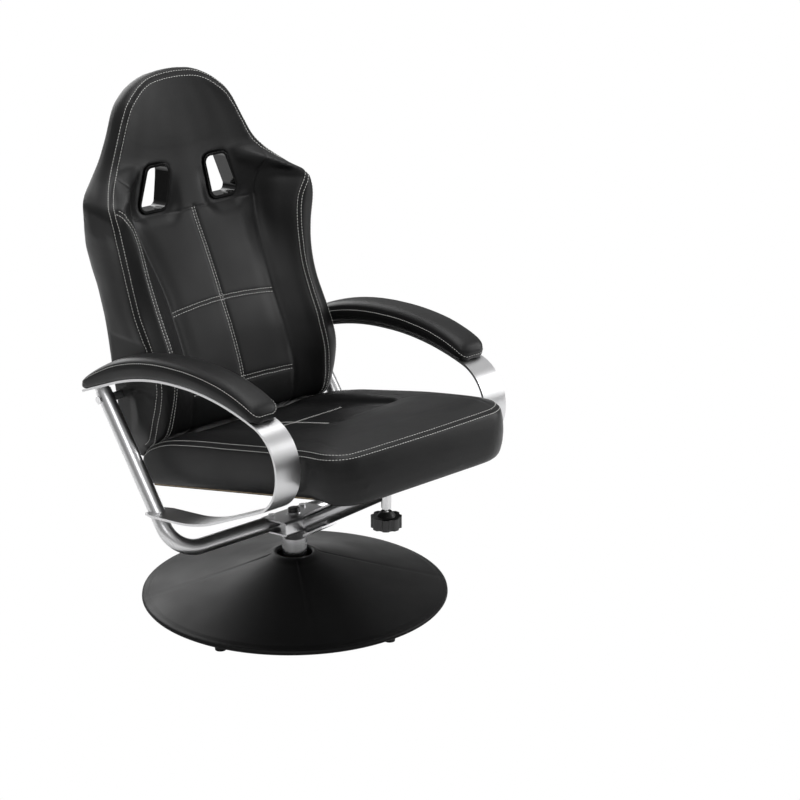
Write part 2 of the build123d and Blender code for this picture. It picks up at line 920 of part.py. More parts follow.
def clamp_shoe():
    """The pad on the stud's tip that presses on the rail."""
    bottom = seat_top_at_clamp - shoe_thickness * 1.5 - shoe_gap
    shape = rod((0, clamp_axis_y, bottom), (0, clamp_axis_y, bottom + cut_overrun), shoe_radius)
    reach = channel_length
    above = seat_place(
        block((-reach, reach), (-5 * reach, reach), (-rail_wall - shoe_gap, reach))
    )
    return shape - above


def knob():
    """The lobed hand knob."""
    outline = Circle(knob_radius)
    for i in range(knob_lobe_count):
        angle = radians(360 * (i + 0.5) / knob_lobe_count)
        reach = knob_radius + knob_scallop_radius * 0.55
        outline -= Pos(reach * cos(angle), reach * sin(angle)) * Circle(knob_scallop_radius)
    plane = Plane((0, clamp_axis_y, knob_bottom))
    body = extrude(plane * outline, knob_height)
    hub_top = knob_bottom + knob_height + knob_hub_height
    hub = Solid.make_cone(
        knob_hub_radius * 1.7, knob_hub_radius, knob_hub_height, Plane((0, clamp_axis_y, knob_bottom + knob_height))
    )
    low = (0, clamp_axis_y, knob_bottom + knob_height / 2)
    insert = rod(low, (0, clamp_axis_y, hub_top), knob_insert_radius + running_clearance)
    return (body + hub) - insert


def knob_insert():
    """The metal bush moulded into the knob."""
    bottom = knob_bottom + knob_height / 2
    hub_top = knob_bottom + knob_height + knob_hub_height
    return pipe(
        (0, clamp_axis_y, bottom), (0, clamp_axis_y, hub_top), knob_insert_radius, stud_radius + running_clearance
    )


# Seat, built in its own tilted frame

def seat_section(x_share):
    """The seat's side outline at a share of its half width, as one face of the loft."""
    width = abs(x_share)
    edge = min(1.0, max(0.0, width - 0.84) / 0.16)
    draw = seat_draw_in * edge
    corner = seat_corner_radius * (1 - (1 - edge ** 2) ** 0.5)
    bow = seat_front_bow * width ** 2
    in_recess = recess_half_width / seat_half_width
    rise = min(1.0, max(0.0, (width - in_recess) / (0.78 - in_recess)))
    dip = recess_depth * (1 - rise)
    side_drop = (seat_thickness - seat_side_height) * edge
    front = seat_front + corner + bow
    rear = seat_rear - draw
    crest = seat_thickness - side_drop
    low = draw * 0.4
    points = (
        (rear, low),
        (seat_board_front, low),
        (front + seat_lip_run, low - seat_lip_drop),
        (front + seat_front_round, low - seat_lip_drop * 0.4),
        (front, seat_front_height * 0.5),
        (front + seat_front_round, seat_front_height - side_drop * 0.5),
        (front + seat_front_rise, crest - seat_front_round),
        (recess_front - recess_wall, crest),
        (recess_front, crest - dip),
        (seat_middle, crest - dip),
        (seat_rear_crest, seat_rear_crest_height - side_drop * 0.3 - dip * 0.35),
        (seat_rear_bend, seat_rear_bend_height - side_drop * 0.4 - dip * 0.15),
        (seat_rear_shoulder - draw, seat_rear_shoulder_height - side_drop * 0.3),
        (rear - seat_rear_lean, seat_rear_height - side_drop * 0.4),
    )
    return Face(side_wire(points, x_share * seat_half_width))


def seat_blank():
    shares = (-1.0, -0.97, -0.91, -0.78, -0.59, -0.3, 0.0, 0.3, 0.59, 0.78, 0.91, 0.97, 1.0)
    return loft([seat_section(share) for share in shares], ruled=True)


def seat_board_local():
    half = seat_half_width - seat_board_inset
    rear = seat_rear - seat_board_inset
    return block(
        (-half, half), (seat_board_front, rear), (dust_cover_thickness, dust_cover_thickness + seat_board_thickness)
    )


def rail_envelope():
    half = rail_width / 2 + 2 * touch_gap
    front = rail_front - rail_cap_length - 2 * touch_gap
    return block((-half, half), (front, rail_rear + cut_overrun), (-rail_height - cut_overrun, 0))


def seat_cushion():
    """Foam and cover in one: crowned, drawn in at the sides, with a sunk centre panel."""
    shape = seat_blank() - seat_board_local() - dust_cover_local() - rail_envelope()
    return seat_place(largest(shape))


def dust_cover_local():
    half = seat_half_width - seat_board_inset
    rear = seat_rear - seat_board_inset
    return block((-half, half), (seat_board_front, rear), (0, dust_cover_thickness))


def rail_screw_places():
    """Screw places down the rail, as y of the seat's frame."""
    return (rail_front + rail_screw_inset, rail_rear - rail_screw_inset)


def rail_screw_cuts():
    cuts = None
    for y in rail_screw_places():
        for x in (-rail_width / 4, rail_width / 4):
            top = (x, y, seat_board_thickness * 0.9)
            cut = rod((x, y, -rail_wall - cut_overrun), top, rail_screw_radius + running_clearance)
            cuts = cut if cuts is None else cuts + cut
    return cuts


def lug_screw_places():
    """Screw places of the seat's hinge straps, as (x, y) of the seat's frame."""
    rear = seat_rear - seat_board_inset
    out = lug_spacing + lug_thickness / 2
    return [(side * out, rear - lug_width - i * 2.5 * lug_width) for side in (-1, 1) for i in (0, 1)]


def lug_screw_cuts():
    cuts = None
    for x, y in lug_screw_places():
        top = (x, y, seat_board_thickness * 0.9)
        cut = rod((x, y, -cut_overrun), top, rail_screw_radius + running_clearance)
        cuts = cut if cuts is None else cuts + cut
    return cuts


def seat_board():
    return seat_place(seat_board_local() - rail_screw_cuts() - lug_screw_cuts())


def seat_dust_cover():
    return seat_place(dust_cover_local() - rail_screw_cuts() - lug_screw_cuts())


def seat_rail():
    """The inverted channel under the seat, slotted for the guide bolt."""
    half = rail_width / 2
    outer = block((-half, half), (rail_front, rail_rear), (-rail_height, 0))
    inner = block(
        (-half + rail_wall, half - rail_wall),
        (rail_front - cut_overrun, rail_rear + cut_overrun),
        (-rail_height - cut_overrun, -rail_wall),
    )
    shape = outer - inner - rail_screw_cuts()
    slot_z = saddle_top - saddle_height / 2
    start = saddle_front + saddle_length - guide_bolt_forward
    reach = slide_travel + touch_gap
    radius = guide_bolt_radius + touch_gap
    for y in (start - touch_gap, start + reach):
        shape -= rod((-rail_width, y, slot_z), (rail_width, y, slot_z), radius)
    shape -= block((-rail_width, rail_width), (start - touch_gap, start + reach), (slot_z - radius, slot_z + radius))
    return seat_place(shape)


def rail_caps():
    """Black plastic caps on the rail's two ends."""
    half = rail_width / 2
    front = block((-half, half), (rail_front - rail_cap_length, rail_front), (-rail_height, 0))
    rear = block((-half, half), (rail_rear, rail_rear + rail_cap_length), (-rail_height, 0))
    return group([seat_place(front), seat_place(rear)])


def rail_screws():
    screws = []
    head = rail_screw_radius * bolt_head_share
    for y in rail_screw_places():
        for x in (-rail_width / 4, rail_width / 4):
            shank = rod((x, y, -rail_wall), (x, y, seat_board_thickness * 0.8), rail_screw_radius)
            cap = rod((x, y, -rail_wall - rail_screw_radius * 0.7), (x, y, -rail_wall), head)
            screws.append(seat_place(shank + cap))
    return group(screws)


hinge_y = pivot[0]
hinge_z = pivot[1] - hinge_drop


def hinge_local():
    """The hinge line in the seat's frame, as (y, z)."""
    tilt = radians(slide_angle)
    rise = hinge_z - seat_underside_height
    return hinge_y * cos(tilt) - rise * sin(tilt), hinge_y * sin(tilt) + rise * cos(tilt)


def seat_lugs():
    """Angles under the seat's rear whose raised ends hold the back's foot in an upright slot."""
    y, z = hinge_local()
    half = lug_width / 2
    start = seat_rear - seat_board_inset - 5 * lug_width
    bend = seat_rear + lug_clear
    run = hypot(y - bend, z)
    along = ((y - bend) / run, z / run)
    outline = (
        (start, -lug_drop),
        (start, 0),
        (bend, 0),
        (y - half * along[1], z + half * along[0]),
        (y + half * along[1], z - half * along[0]),
        (bend, -lug_drop),
    )
    lugs = []
    for side in (-1, 1):
        inner = side * (lug_spacing - half)
        outer = inner + side * lug_thickness
        low, high = sorted((inner, outer))
        shape = side_plate(outline, lug_thickness / 2, (inner + outer) / 2)
        shape += rod((low, y, z), (high, y, z), half)
        flange = sorted((inner, inner + side * lug_width))
        shape += block(flange, (start, seat_rear - seat_board_inset), (-lug_thickness, 0))
        sag = hinge_drop * (1 - cos(radians(slide_angle)))
        radius = hinge_pin_radius + slot_clearance
        for drop in (0.0, sag):
            shape -= rod((low - lug_thickness, y, z - drop), (high + lug_thickness, y, z - drop), radius)
        slot = block((low - lug_thickness, high + lug_thickness), (y - radius, y + radius), (z - sag, z))
        shape = shape - slot - lug_screw_cuts()
        lugs.append(seat_place(shape))
    return group(lugs)


def lug_screws():
    screws = []
    head = rail_screw_radius * bolt_head_share
    for x, y in lug_screw_places():
        shank = rod((x, y, -lug_thickness), (x, y, seat_board_thickness * 0.8), rail_screw_radius)
        cap = rod((x, y, -lug_thickness - rail_screw_radius * 0.7), (x, y, -lug_thickness), head)
        screws.append(seat_place(shank + cap))
    return group(screws)


# Back

# Each row is one level of the back: its height, then half width, front centre line, seam
# place and depth, bolster crest place and depth, border depth and rear depth. Heights are
# shares of the back's height, places are shares of the half width, the centre line is a
# share of the back's reach and depths are shares of the pad depth behind the centre line.
back_level_shares = (
    (0.0000, 0.860, 0.169, 0.56, 0.00, 0.78, 0.00, 0.03, 0.490, 0.14),
    (0.0160, 0.870, 0.169, 0.56, 0.00, 0.78, 0.00, 0.03, 0.547, 0.14),
    (0.0637, 0.885, 0.048, 0.55, 0.00, 0.78, -0.02, 0.03, 0.998, 0.14),
    (0.0797, 0.890, 0.000, 0.53, 0.00, 0.79, -0.11, 0.12, 1.180, 0.14),
    (0.1280, 0.905, 0.006, 0.53, 0.00, 0.79, -0.22, 0.00, 1.19, 0.12),
    (0.2150, 0.915, 0.043, 0.53, 0.00, 0.775, -0.43, -0.30, 1.23, 0.12),
    (0.3133, 0.915, 0.115, 0.52, 0.00, 0.76, -0.52, -0.34, 1.14, 0.16),
    (0.4464, 0.925, 0.234, 0.53, -0.02, 0.755, -0.52, -0.30, 1.00, 0.18),
    (0.5734, 0.970, 0.375, 0.57, -0.08, 0.79, -0.74, -0.67, 0.72, 0.24),
    (0.6451, 1.000, 0.430, 0.60, -0.12, 0.84, -0.86, -0.82, 0.58, 0.50),
    (0.6881, 0.985, 0.449, 0.62, -0.16, 0.88, -0.90, -0.72, 0.47, 0.46),
    (0.7085, 0.945, 0.456, 0.60, -0.16, 0.80, -0.72, -0.46, 0.50, 0.34),
    (0.7475, 0.825, 0.472, 0.52, -0.06, 0.70, -0.30, -0.16, 0.58, 0.24),
    (0.7853, 0.735, 0.484, 0.46, -0.02, 0.62, -0.12, -0.04, 0.57, 0.20),
    (0.8437, 0.645, 0.511, 0.40, 0.00, 0.53, -0.08, -0.06, 0.53, 0.20),
    (0.9236, 0.535, 0.546, 0.34, 0.00, 0.45, -0.06, -0.04, 0.48, 0.28),
    (0.9560, 0.440, 0.560, 0.28, 0.00, 0.36, -0.04, 0.00, 0.452, 0.28),
    (0.9790, 0.350, 0.570, 0.20, 0.01, 0.27, 0.01, 0.04, 0.38, 0.20),
    (0.9930, 0.240, 0.578, 0.12, 0.03, 0.16, 0.04, 0.07, 0.31, 0.12),
    (1.0000, 0.120, 0.586, 0.05, 0.05, 0.07, 0.07, 0.10, 0.22, 0.06),
)

back_height = back_top - back_bottom


def back_level(row):
    """One level of the back as a face: panel, bolsters, borders, rounded rear corners."""
    height, half, lean, seam_x, seam_d, crest_x, crest_d, border_d, rear_d, corner_d = row
    z = back_bottom + height * back_height
    centre = back_foot_y + lean * back_reach
    half_width = half * back_half_width
    seam = (seam_x * back_half_width, centre + seam_d * back_pad_depth)
    crest = (crest_x * back_half_width, centre + crest_d * back_pad_depth)
    border = (half_width * 0.965, centre + border_d * back_pad_depth)
    rear = centre + rear_d * back_pad_depth
    radius = min(corner_d * back_pad_depth, (rear - border[1]) * 0.45, half_width * 0.5)
    side_front = (half_width, border[1] + min(back_front_round, radius))
    side_rear = (half_width, rear - radius)
    rear_edge = (half_width - radius, rear)
    corner = (half_width - radius * 0.293, rear - radius * 0.293)
    right = [seam, crest, border, side_front, side_rear]
    edges = []
    points = [Vector(x, y, z) for x, y in right]
    edges.append(Line(points[0], points[1]))
    edges.append(Line(points[1], points[2]))
    edges.append(Line(points[2], points[3]))
    edges.append(Line(points[3], points[4]))
    edges.append(ThreePointArc(points[4], Vector(*corner, z), Vector(*rear_edge, z)))
    left = [edge.mirror(Plane.YZ) for edge in edges]
    front = Line(points[0], Vector(-seam[0], seam[1], z))
    back = Line(Vector(*rear_edge, z), Vector(-rear_edge[0], rear_edge[1], z))
    return make_face([*edges, *left, front, back])


def back_blank():
    return loft([back_level(row) for row in back_level_shares], ruled=True)


def rear_line(depth):
    """The back's rear line seen from the side, moved forward by a depth."""
    line = []
    for row in back_level_shares[1:]:
        z = back_bottom + row[0] * back_height
        line.append((back_foot_y + row[2] * back_reach + row[8] * back_pad_depth - depth, z))
    return line


def rear_block(depth):
    """Everything behind the surface that lies a depth inside the back's rear."""
    line = rear_line(depth)
    low = (line[0][0], back_bottom - cut_overrun)
    high = (line[-1][0], back_top + cut_overrun)
    far = back_foot_y + 3 * back_reach
    outline = [low, *line, high, (far, high[1]), (far, low[1])]
    return side_plate(outline, back_half_width + cut_overrun)


def board_blank():
    """The bent inner board: between two surfaces, inside the back's outline."""
    front = rear_block(rear_pad_thickness + back_board_thickness)
    behind = rear_block(rear_pad_thickness)
    outline = []
    for row in back_level_shares[3:-3]:
        z = back_bottom + row[0] * back_height
        outline.append((row[1] * back_half_width - back_board_inset, z))
    low = back_bottom + touch_gap
    outline = [(outline[0][0], low), *outline]
    points = outline + [(-x, z) for x, z in reversed(outline)]
    wire = Wire.make_polygon([(x, 0, z) for x, z in points])
    slab = Solid.extrude(Face(wire), Vector(0, 3 * back_reach, 0))
    return largest((front - behind) & slab)


def hole_frame(z):
    """The head hole's plane at a height: Z points forward along the hole."""
    tilt = radians(hole_tilt)
    return Plane((0, hole_front, z), x_dir=(1, 0, 0), z_dir=(0, -cos(tilt), sin(tilt)))


hole_middle_height = (hole_top_height + hole_bottom_height) / 2


def hole_outline(grow):
    """The slanted head hole seen along its axis, grown by a margin."""
    rise = (hole_top_height - hole_bottom_height) / 2 / cos(radians(hole_tilt))
    corners = (
        (-hole_bottom_outer - grow, -rise - grow),
        (-hole_bottom_inner + grow, -rise - grow),
        (-hole_top_inner + grow, rise + grow),
        (-hole_top_outer - grow, rise + grow),
    )
    face = Face(Wire.make_polygon([(x, y, 0) for x, y in corners]))
    return face.fillet_2d(hole_corner_radius + grow, face.vertices())


def hole_prism(grow, low, high):
    """The hole's outline drawn along its axis, from low to high ahead of the head."""
    plane = hole_frame(hole_middle_height)
    face = plane.offset(low) * hole_outline(grow)
    return Solid.extrude(face, plane.z_dir * (high - low))


head_depth = back_pad_depth * 0.58


def head_holes():
    """The holes through the head: close round the sleeves, wider behind them."""
    hole = hole_prism(bezel_wall, -4 * head_depth, 4 * head_depth)
    hole += hole_prism(bezel_wall + hole_rear_relief, -4 * head_depth, -bezel_depth)
    return hole + mirrored(hole)


def head_bezel():
    """A moulded frame: a rounded lip on the cover and a sleeve through the head."""
    sleeve = hole_prism(bezel_wall, -bezel_depth, bezel_stand_off)
    lip = hole_prism(bezel_wall + bezel_lip, 0, bezel_stand_off)
    rim = lip.faces().sort_by(Axis.Y)[0].edges()
    lip = lip.fillet(bezel_edge_round, rim)
    opening = hole_prism(0, -bezel_depth - cut_overrun, bezel_stand_off + cut_overrun)
    return (sleeve + lip) - opening


def bezel_lip_pocket():
    lip = hole_prism(bezel_wall + bezel_lip, 0, 4 * head_depth)
    return lip + mirrored(lip)


def back_cushion():
    """Front foam and cover in one, with its bolsters, wings and head holes."""
    shape = back_blank() - rear_block(board_depth())
    shape = shape - head_holes() - bezel_lip_pocket()
    return largest(shape - bracket_room() - mirrored(bracket_room()))


def back_rear_cover():
    """The padded rear panel and the cover's turned sides round the board."""
    shape = back_blank() & rear_block(board_depth())
    shape = shape - board_blank() - head_holes()
    return largest(shape - bracket_room() - mirrored(bracket_room()))


def back_board():
    return largest(board_blank() - head_holes() - bracket_screw_cuts())


def back_lugs():
    """Ears under the board's foot with the pins that ride in the seat's slots."""
    ears = []
    half = lug_width / 2
    board_rear = rear_line(rear_pad_thickness)[0][0]
    board_front = board_rear - back_board_thickness
    outline = (
        (board_front, back_bottom),
        (board_front, back_bottom - lug_thickness / 2),
        (hinge_y - half, hinge_z),
        (hinge_y + half, hinge_z),
        (board_rear, back_bottom),
    )
    for side in (-1, 1):
        x_far = side * (lug_spacing - half) - side * touch_gap
        x_near = x_far - side * lug_thickness
        x_range = tuple(sorted((x_far, x_near)))
        ear = side_plate(outline, lug_thickness / 2, (x_far + x_near) / 2)
        ear += rod((x_range[0], hinge_y, hinge_z), (x_range[1], hinge_y, hinge_z), half)
        pin_end = side * (lug_spacing - half) + side * (lug_thickness * 1.4)
        ear += rod((x_near, hinge_y, hinge_z), (pin_end, hinge_y, hinge_z), hinge_pin_radius)
        foot = sorted((x_far, x_far - side * lug_width))
        ear += block(foot, (board_front, board_rear), (back_bottom - lug_thickness / 2, back_bottom))
        ears.append(ear)
    return group(ears)


side_of_back = back_half_width * 0.915
bracket_edge = side_of_back - back_board_inset + touch_gap
boss_end = side_of_back + touch_gap


def board_depth():
    """How far the board's front face lies inside the back's rear."""
    return rear_pad_thickness + back_board_thickness


def bracket_slab(front, rear, x_range, grow):
    """A layer along the board between two depths, as high as the bracket."""
    half = bracket_height / 2 + grow
    layer = rear_block(front) - rear_block(rear)
    return layer & block(x_range, (back_foot_y, 3 * back_reach), (pivot[1] - half, pivot[1] + half))


def hinge_boss(radius, outer):
    y, z = pivot
    return rod((-outer, y, z), (-bracket_edge, y, z), radius)


def bracket_screw_lines():
    """Each bracket screw's place on the board's front face, and the way into the board."""
    (low_y, low_z), (high_y, high_z) = rear_line(board_depth())[3:5]
    slope = (high_y - low_y) / (high_z - low_z)
    run = hypot(1, slope)
    into = Vector(0, 1 / run, -slope / run)
    lines = []
    for out in (bracket_screw_inset, bracket_flange - bracket_screw_inset):
        for rise in (-bracket_screw_spread, bracket_screw_spread):
            z = pivot[1] + rise
            lines.append((Vector(-bracket_edge + out, low_y + slope * (z - low_z), z), into))
    return lines


def bracket_screw_cut():
    cuts = None
    for place, into in bracket_screw_lines():
        start = place - into * cut_overrun
        end = place + into * back_board_thickness * 0.85
        cut = rod(start, end, bracket_screw_radius + running_clearance)
        cuts = cut if cuts is None else cuts + cut
    return cuts


def bracket_screw_cuts():
    return bracket_screw_cut() + mirrored(bracket_screw_cut())


def hinge_bracket():
    """The steel angle on the board: a flange, a side plate and a boss for the pivot bolt."""
    outer = -bracket_edge - bracket_thickness
    front = board_depth() + bracket_thickness
    flange = bracket_slab(front, board_depth(), (outer, -bracket_edge + bracket_flange), 0)
    plate = bracket_slab(front, bracket_rear_pad, (outer, -bracket_edge), 0)
    shape = flange + plate + hinge_boss(bracket_boss_radius, boss_end)
    y, z = pivot
    bore = rod((-boss_end - cut_overrun, y, z), (outer + cut_overrun, y, z), pivot_bolt_radius + running_clearance)
    return shape - bore - bracket_screw_cut()


def bracket_room():
    """The space in the foam for the bracket and its screw heads."""
    outer = -bracket_edge - bracket_thickness - touch_gap
    head = bracket_screw_radius
    front = board_depth() + bracket_thickness + head
    inner = -bracket_edge + bracket_flange + touch_gap
    room = bracket_slab(front, rear_pad_thickness, (outer, inner), touch_gap)
    room += bracket_slab(front, bracket_rear_pad - touch_gap, (outer, -bracket_edge + touch_gap), touch_gap)
    return room + hinge_boss(bracket_boss_radius + touch_gap, side_of_back + cut_overrun)


def bracket_screws():
    screws = []
    for place, into in bracket_screw_lines():
        face = place - into * bracket_thickness
        shank = rod(face, place + into * back_board_thickness * 0.8, bracket_screw_radius)
        head = rod(face - into * bracket_screw_radius * 0.7, face, bracket_screw_radius * bolt_head_share)
        screws.append(shank + head)
    both = screws + [mirrored(screw) for screw in screws]
    return group(both)


def pivot_spacers():
    """Short tubes between the side tubes and the bosses of the hinge brackets."""
    y, z = pivot
    inner = boss_end + touch_gap
    ring = pipe((-arm_centre, y, z), (-inner, y, z), pivot_sleeve_radius, pivot_bolt_radius + running_clearance)
    return pair(largest(ring - tube_body(tube_radius + running_clearance)))


def pivot_bolts():
    """Bolts through the side tubes and spacers into the bosses of the hinge brackets."""
    y, z = pivot
    outer = arm_centre + tube_radius
    shank = rod((-outer, y, z), (-bracket_edge - touch_gap, y, z), pivot_bolt_radius)
    head = rod((-outer - pivot_head_height, y, z), (-outer, y, z), pivot_head_radius)
    return pair(shank + head)


# Every piece by name

right_pad = largest(arm_pad_blank() - pad_board() - pad_screw_holes())
right_board = pad_board()
right_bar = arm_bar()
right_tube = side_tube()

nodes = {
    "base_feet": base_feet(),
    "base_board": base_board(),
    "base_dome": base_dome(),
    "base_cover": base_cover(),
    "base_collar": base_collar(),
    "post_flange": post_flange(),
    "flange_bolts": flange_bolts(),
    "post_tube": post_tube() - bush_screw_cuts(),
    "post_bushes": post_bushes(),
    "thrust_washer": thrust_washer(),
    "bush_screws": bush_screws(),
    "spindle": spindle(),
    "bracket_channel": bracket_channel(),
    "channel_spacer": channel_spacer(),
    "centre_bolt": centre_bolt(),
    "centre_washer": centre_washer(),
    "side_tube_right": right_tube,
    "side_tube_left": mirrored(right_tube),
    "tube_spigots": tube_spigots(),
    "spigot_bolts": spigot_bolts(),
    "tube_plugs": pair(tube_saddle()),
    "arm_bar_right": right_bar,
    "arm_bar_left": mirrored(right_bar),
    "arm_pad_right": right_pad,
    "arm_pad_left": mirrored(right_pad),
    "arm_pad_board_right": right_board,
    "arm_pad_board_left": mirrored(right_board),
    "pad_screws": pad_screws(),
    "support_tube": support_tube(),
    "support_gussets": support_gussets(),
    "clamp_saddle": clamp_saddle(),
    "clamp_barrel": clamp_barrel(),
    "guide_bolt": guide_bolt(),
    "clamp_stud": clamp_stud(),
    "clamp_shoe": clamp_shoe(),
    "knob": knob(),
    "knob_insert": knob_insert(),
    "seat_cushion": seat_cushion(),
    "seat_board": seat_board(),
    "seat_dust_cover": seat_dust_cover(),
    "seat_rail": seat_rail(),
    "rail_caps": rail_caps(),
    "rail_screws": rail_screws(),
    "seat_lugs": seat_lugs(),
    "lug_screws": lug_screws(),
    "back_cushion": back_cushion(),
    "back_rear_cover": back_rear_cover(),
    "back_board": back_board(),
    "head_bezel_right": head_bezel(),
    "head_bezel_left": mirrored(head_bezel()),
    "back_lugs": back_lugs(),
    "hinge_bracket_right": hinge_bracket(),
    "hinge_bracket_left": mirrored(hinge_bracket()),
    "bracket_screws": bracket_screws(),
    "pivot_spacers": pivot_spacers(),
    "pivot_bolts": pivot_bolts(),
}

os.makedirs("parts", exist_ok=True)
for name, shape in nodes.items():
    export_step(shape.translate((0, swivel_set_back, 0)), f"parts/{name}.step")
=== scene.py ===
import math

import bmesh
import bpy
import numpy as np
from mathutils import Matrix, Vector
from mathutils.bvhtree import BVHTree
from mathutils.kdtree import KDTree


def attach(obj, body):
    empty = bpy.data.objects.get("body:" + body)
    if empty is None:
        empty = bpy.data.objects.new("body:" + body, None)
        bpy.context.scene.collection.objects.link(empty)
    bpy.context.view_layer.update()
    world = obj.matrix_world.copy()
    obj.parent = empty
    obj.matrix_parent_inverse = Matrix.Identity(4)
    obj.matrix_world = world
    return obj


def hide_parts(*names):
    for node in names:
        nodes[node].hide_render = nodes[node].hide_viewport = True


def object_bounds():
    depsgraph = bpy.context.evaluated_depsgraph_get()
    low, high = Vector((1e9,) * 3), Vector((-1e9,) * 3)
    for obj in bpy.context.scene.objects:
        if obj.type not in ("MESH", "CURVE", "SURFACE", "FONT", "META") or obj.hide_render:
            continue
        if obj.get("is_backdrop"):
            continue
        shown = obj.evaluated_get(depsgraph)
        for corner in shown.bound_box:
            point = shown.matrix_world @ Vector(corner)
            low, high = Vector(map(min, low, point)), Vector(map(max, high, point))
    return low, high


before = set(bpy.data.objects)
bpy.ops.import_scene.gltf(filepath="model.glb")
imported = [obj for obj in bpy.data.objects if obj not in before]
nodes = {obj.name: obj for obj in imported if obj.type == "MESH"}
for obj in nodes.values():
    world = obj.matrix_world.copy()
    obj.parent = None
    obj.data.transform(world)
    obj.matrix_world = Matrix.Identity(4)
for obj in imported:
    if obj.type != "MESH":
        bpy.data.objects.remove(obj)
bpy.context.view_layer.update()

# Shapes are worked out in millimetres with the swivel axis at the origin, as in the CAD source.
# In the shared frame that axis lies this far behind the origin.
AXIS_SHIFT = 7.0
MM = 0.001


def place(points):
    """Points in millimetres about the swivel axis, in metres of the shared frame."""
    points = np.asarray(points, float).reshape(-1, 3)
    return (points + np.array([0.0, AXIS_SHIFT, 0.0])) * MM


def unplace(points):
    """The way back: metres of the shared frame in millimetres about the swivel axis."""
    return np.asarray(points, float).reshape(-1, 3) / MM - np.array([0.0, AXIS_SHIFT, 0.0])


def hermite(knots, values):
    """A smooth curve through the values that doesn't overshoot between them."""
    x = np.asarray(knots, float)
    y = np.asarray(values, float)
    h = np.diff(x)
    d = np.diff(y) / h
    m = np.zeros_like(y)
    m[0], m[-1] = d[0], d[-1]
    for i in range(1, len(x) - 1):
        if d[i - 1] * d[i] > 0:
            w1 = 2 * h[i] + h[i - 1]
            w2 = h[i] + 2 * h[i - 1]
            m[i] = (w1 + w2) / (w1 / d[i - 1] + w2 / d[i])

    def curve(q):
        q = np.clip(q, x[0], x[-1])
        i = np.clip(np.searchsorted(x, q, side="right") - 1, 0, len(h) - 1)
        t = (q - x[i]) / h[i]
        return (
            (1 + 2 * t) * (1 - t) ** 2 * y[i]
            + t * (1 - t) ** 2 * h[i] * m[i]
            + t * t * (3 - 2 * t) * y[i + 1]
            + t * t * (t - 1) * h[i] * m[i + 1]
        )

    return curve


def through(points, per=10, closed=False):
    """A centripetal curve through the points."""
    p = np.asarray(points, float)
    if closed:
        p = np.vstack([p[-1], p, p[0], p[1]])
    else:
        p = np.vstack([2 * p[0] - p[1], p, 2 * p[-1] - p[-2]])
    out = []
    for i in range(1, len(p) - 2):
        a, b, c, d = p[i - 1], p[i], p[i + 1], p[i + 2]
        t0 = 0.0
        t1 = t0 + max(np.linalg.norm(b - a), 1e-6) ** 0.5
        t2 = t1 + max(np.linalg.norm(c - b), 1e-6) ** 0.5
        t3 = t2 + max(np.linalg.norm(d - c), 1e-6) ** 0.5
        for t in np.linspace(t1, t2, per, endpoint=False):
            a1 = (t1 - t) / (t1 - t0) * a + (t - t0) / (t1 - t0) * b
            a2 = (t2 - t) / (t2 - t1) * b + (t - t1) / (t2 - t1) * c
            a3 = (t3 - t) / (t3 - t2) * c + (t - t2) / (t3 - t2) * d
            b1 = (t2 - t) / (t2 - t0) * a1 + (t - t0) / (t2 - t0) * a2
            b2 = (t3 - t) / (t3 - t1) * a2 + (t - t1) / (t3 - t1) * a3
            out.append((t2 - t) / (t2 - t1) * b1 + (t - t1) / (t2 - t1) * b2)
    if not closed:
        out.append(p[-2])
    return np.array(out)


def run_lengths(p):
    """How far along the polyline each of its points lies."""
    return np.concatenate([[0], np.cumsum(np.linalg.norm(np.diff(p, axis=0), axis=1))])


def even(points, step):
    """The polyline resampled at equal steps along its length."""
    p = np.asarray(points, float)
    s = run_lengths(p)
    n = max(2, int(round(s[-1] / step)) + 1)
    q = np.linspace(0, s[-1], n)
    return np.stack([np.interp(q, s, p[:, k]) for k in range(p.shape[1])], 1)


def round_corner(before, corner, after, radius, steps):
    """Points on the arc that rounds a corner of an outline."""
    a = before - corner
    b = after - corner
    a /= np.linalg.norm(a)
    b /= np.linalg.norm(b)
    angle = math.acos(float(np.clip(a @ b, -1, 1)))
    reach = radius / math.tan(angle / 2)
    centre = corner + (a + b) / np.linalg.norm(a + b) * (radius / math.sin(angle / 2))
    start = corner + a * reach - centre
    end = corner + b * reach - centre
    t0, t1 = math.atan2(start[1], start[0]), math.atan2(end[1], end[0])
    turn = (t1 - t0 + math.pi) % (2 * math.pi) - math.pi
    angles = [t0 + turn * k / steps for k in range(steps + 1)]
    return [centre + radius * np.array([math.cos(t), math.sin(t)]) for t in angles]


def mirror_x(points):
    """The same points on the other side of the chair."""
    p = np.asarray(points, float).copy()
    p[:, 0] *= -1
    return p


def new_object(name, verts, faces, smooth=True):
    mesh = bpy.data.meshes.new(name)
    mesh.from_pydata([tuple(v) for v in verts], [], [tuple(f) for f in faces])
    mesh.validate()
    mesh.update()
    if smooth:
        mesh.shade_smooth()
    obj = bpy.data.objects.new(name, mesh)
    bpy.context.scene.collection.objects.link(obj)
    return obj


def ring_mesh(name, rings):
    """A closed skin through rings that all have the same number of points."""
    count = len(rings[0])
    verts = [v for ring in rings for v in ring]
    faces = []
    for i in range(len(rings) - 1):
        for j in range(count):
            k = (j + 1) % count
            a = i * count
            b = a + count
            faces.append((a + j, a + k, b + k, b + j))
    faces.append(tuple(reversed(range(count))))
    faces.append(tuple(range((len(rings) - 1) * count, len(rings) * count)))
    obj = new_object(name, verts, faces)
    fix_normals(obj)
    return obj


def fix_normals(obj):
    bm = bmesh.new()
    bm.from_mesh(obj.data)
    bmesh.ops.recalc_face_normals(bm, faces=bm.faces)
    bm.to_mesh(obj.data)
    bm.free()


def coords(obj):
    co = np.empty(len(obj.data.vertices) * 3)
    obj.data.vertices.foreach_get("co", co)
    return co.reshape(-1, 3)


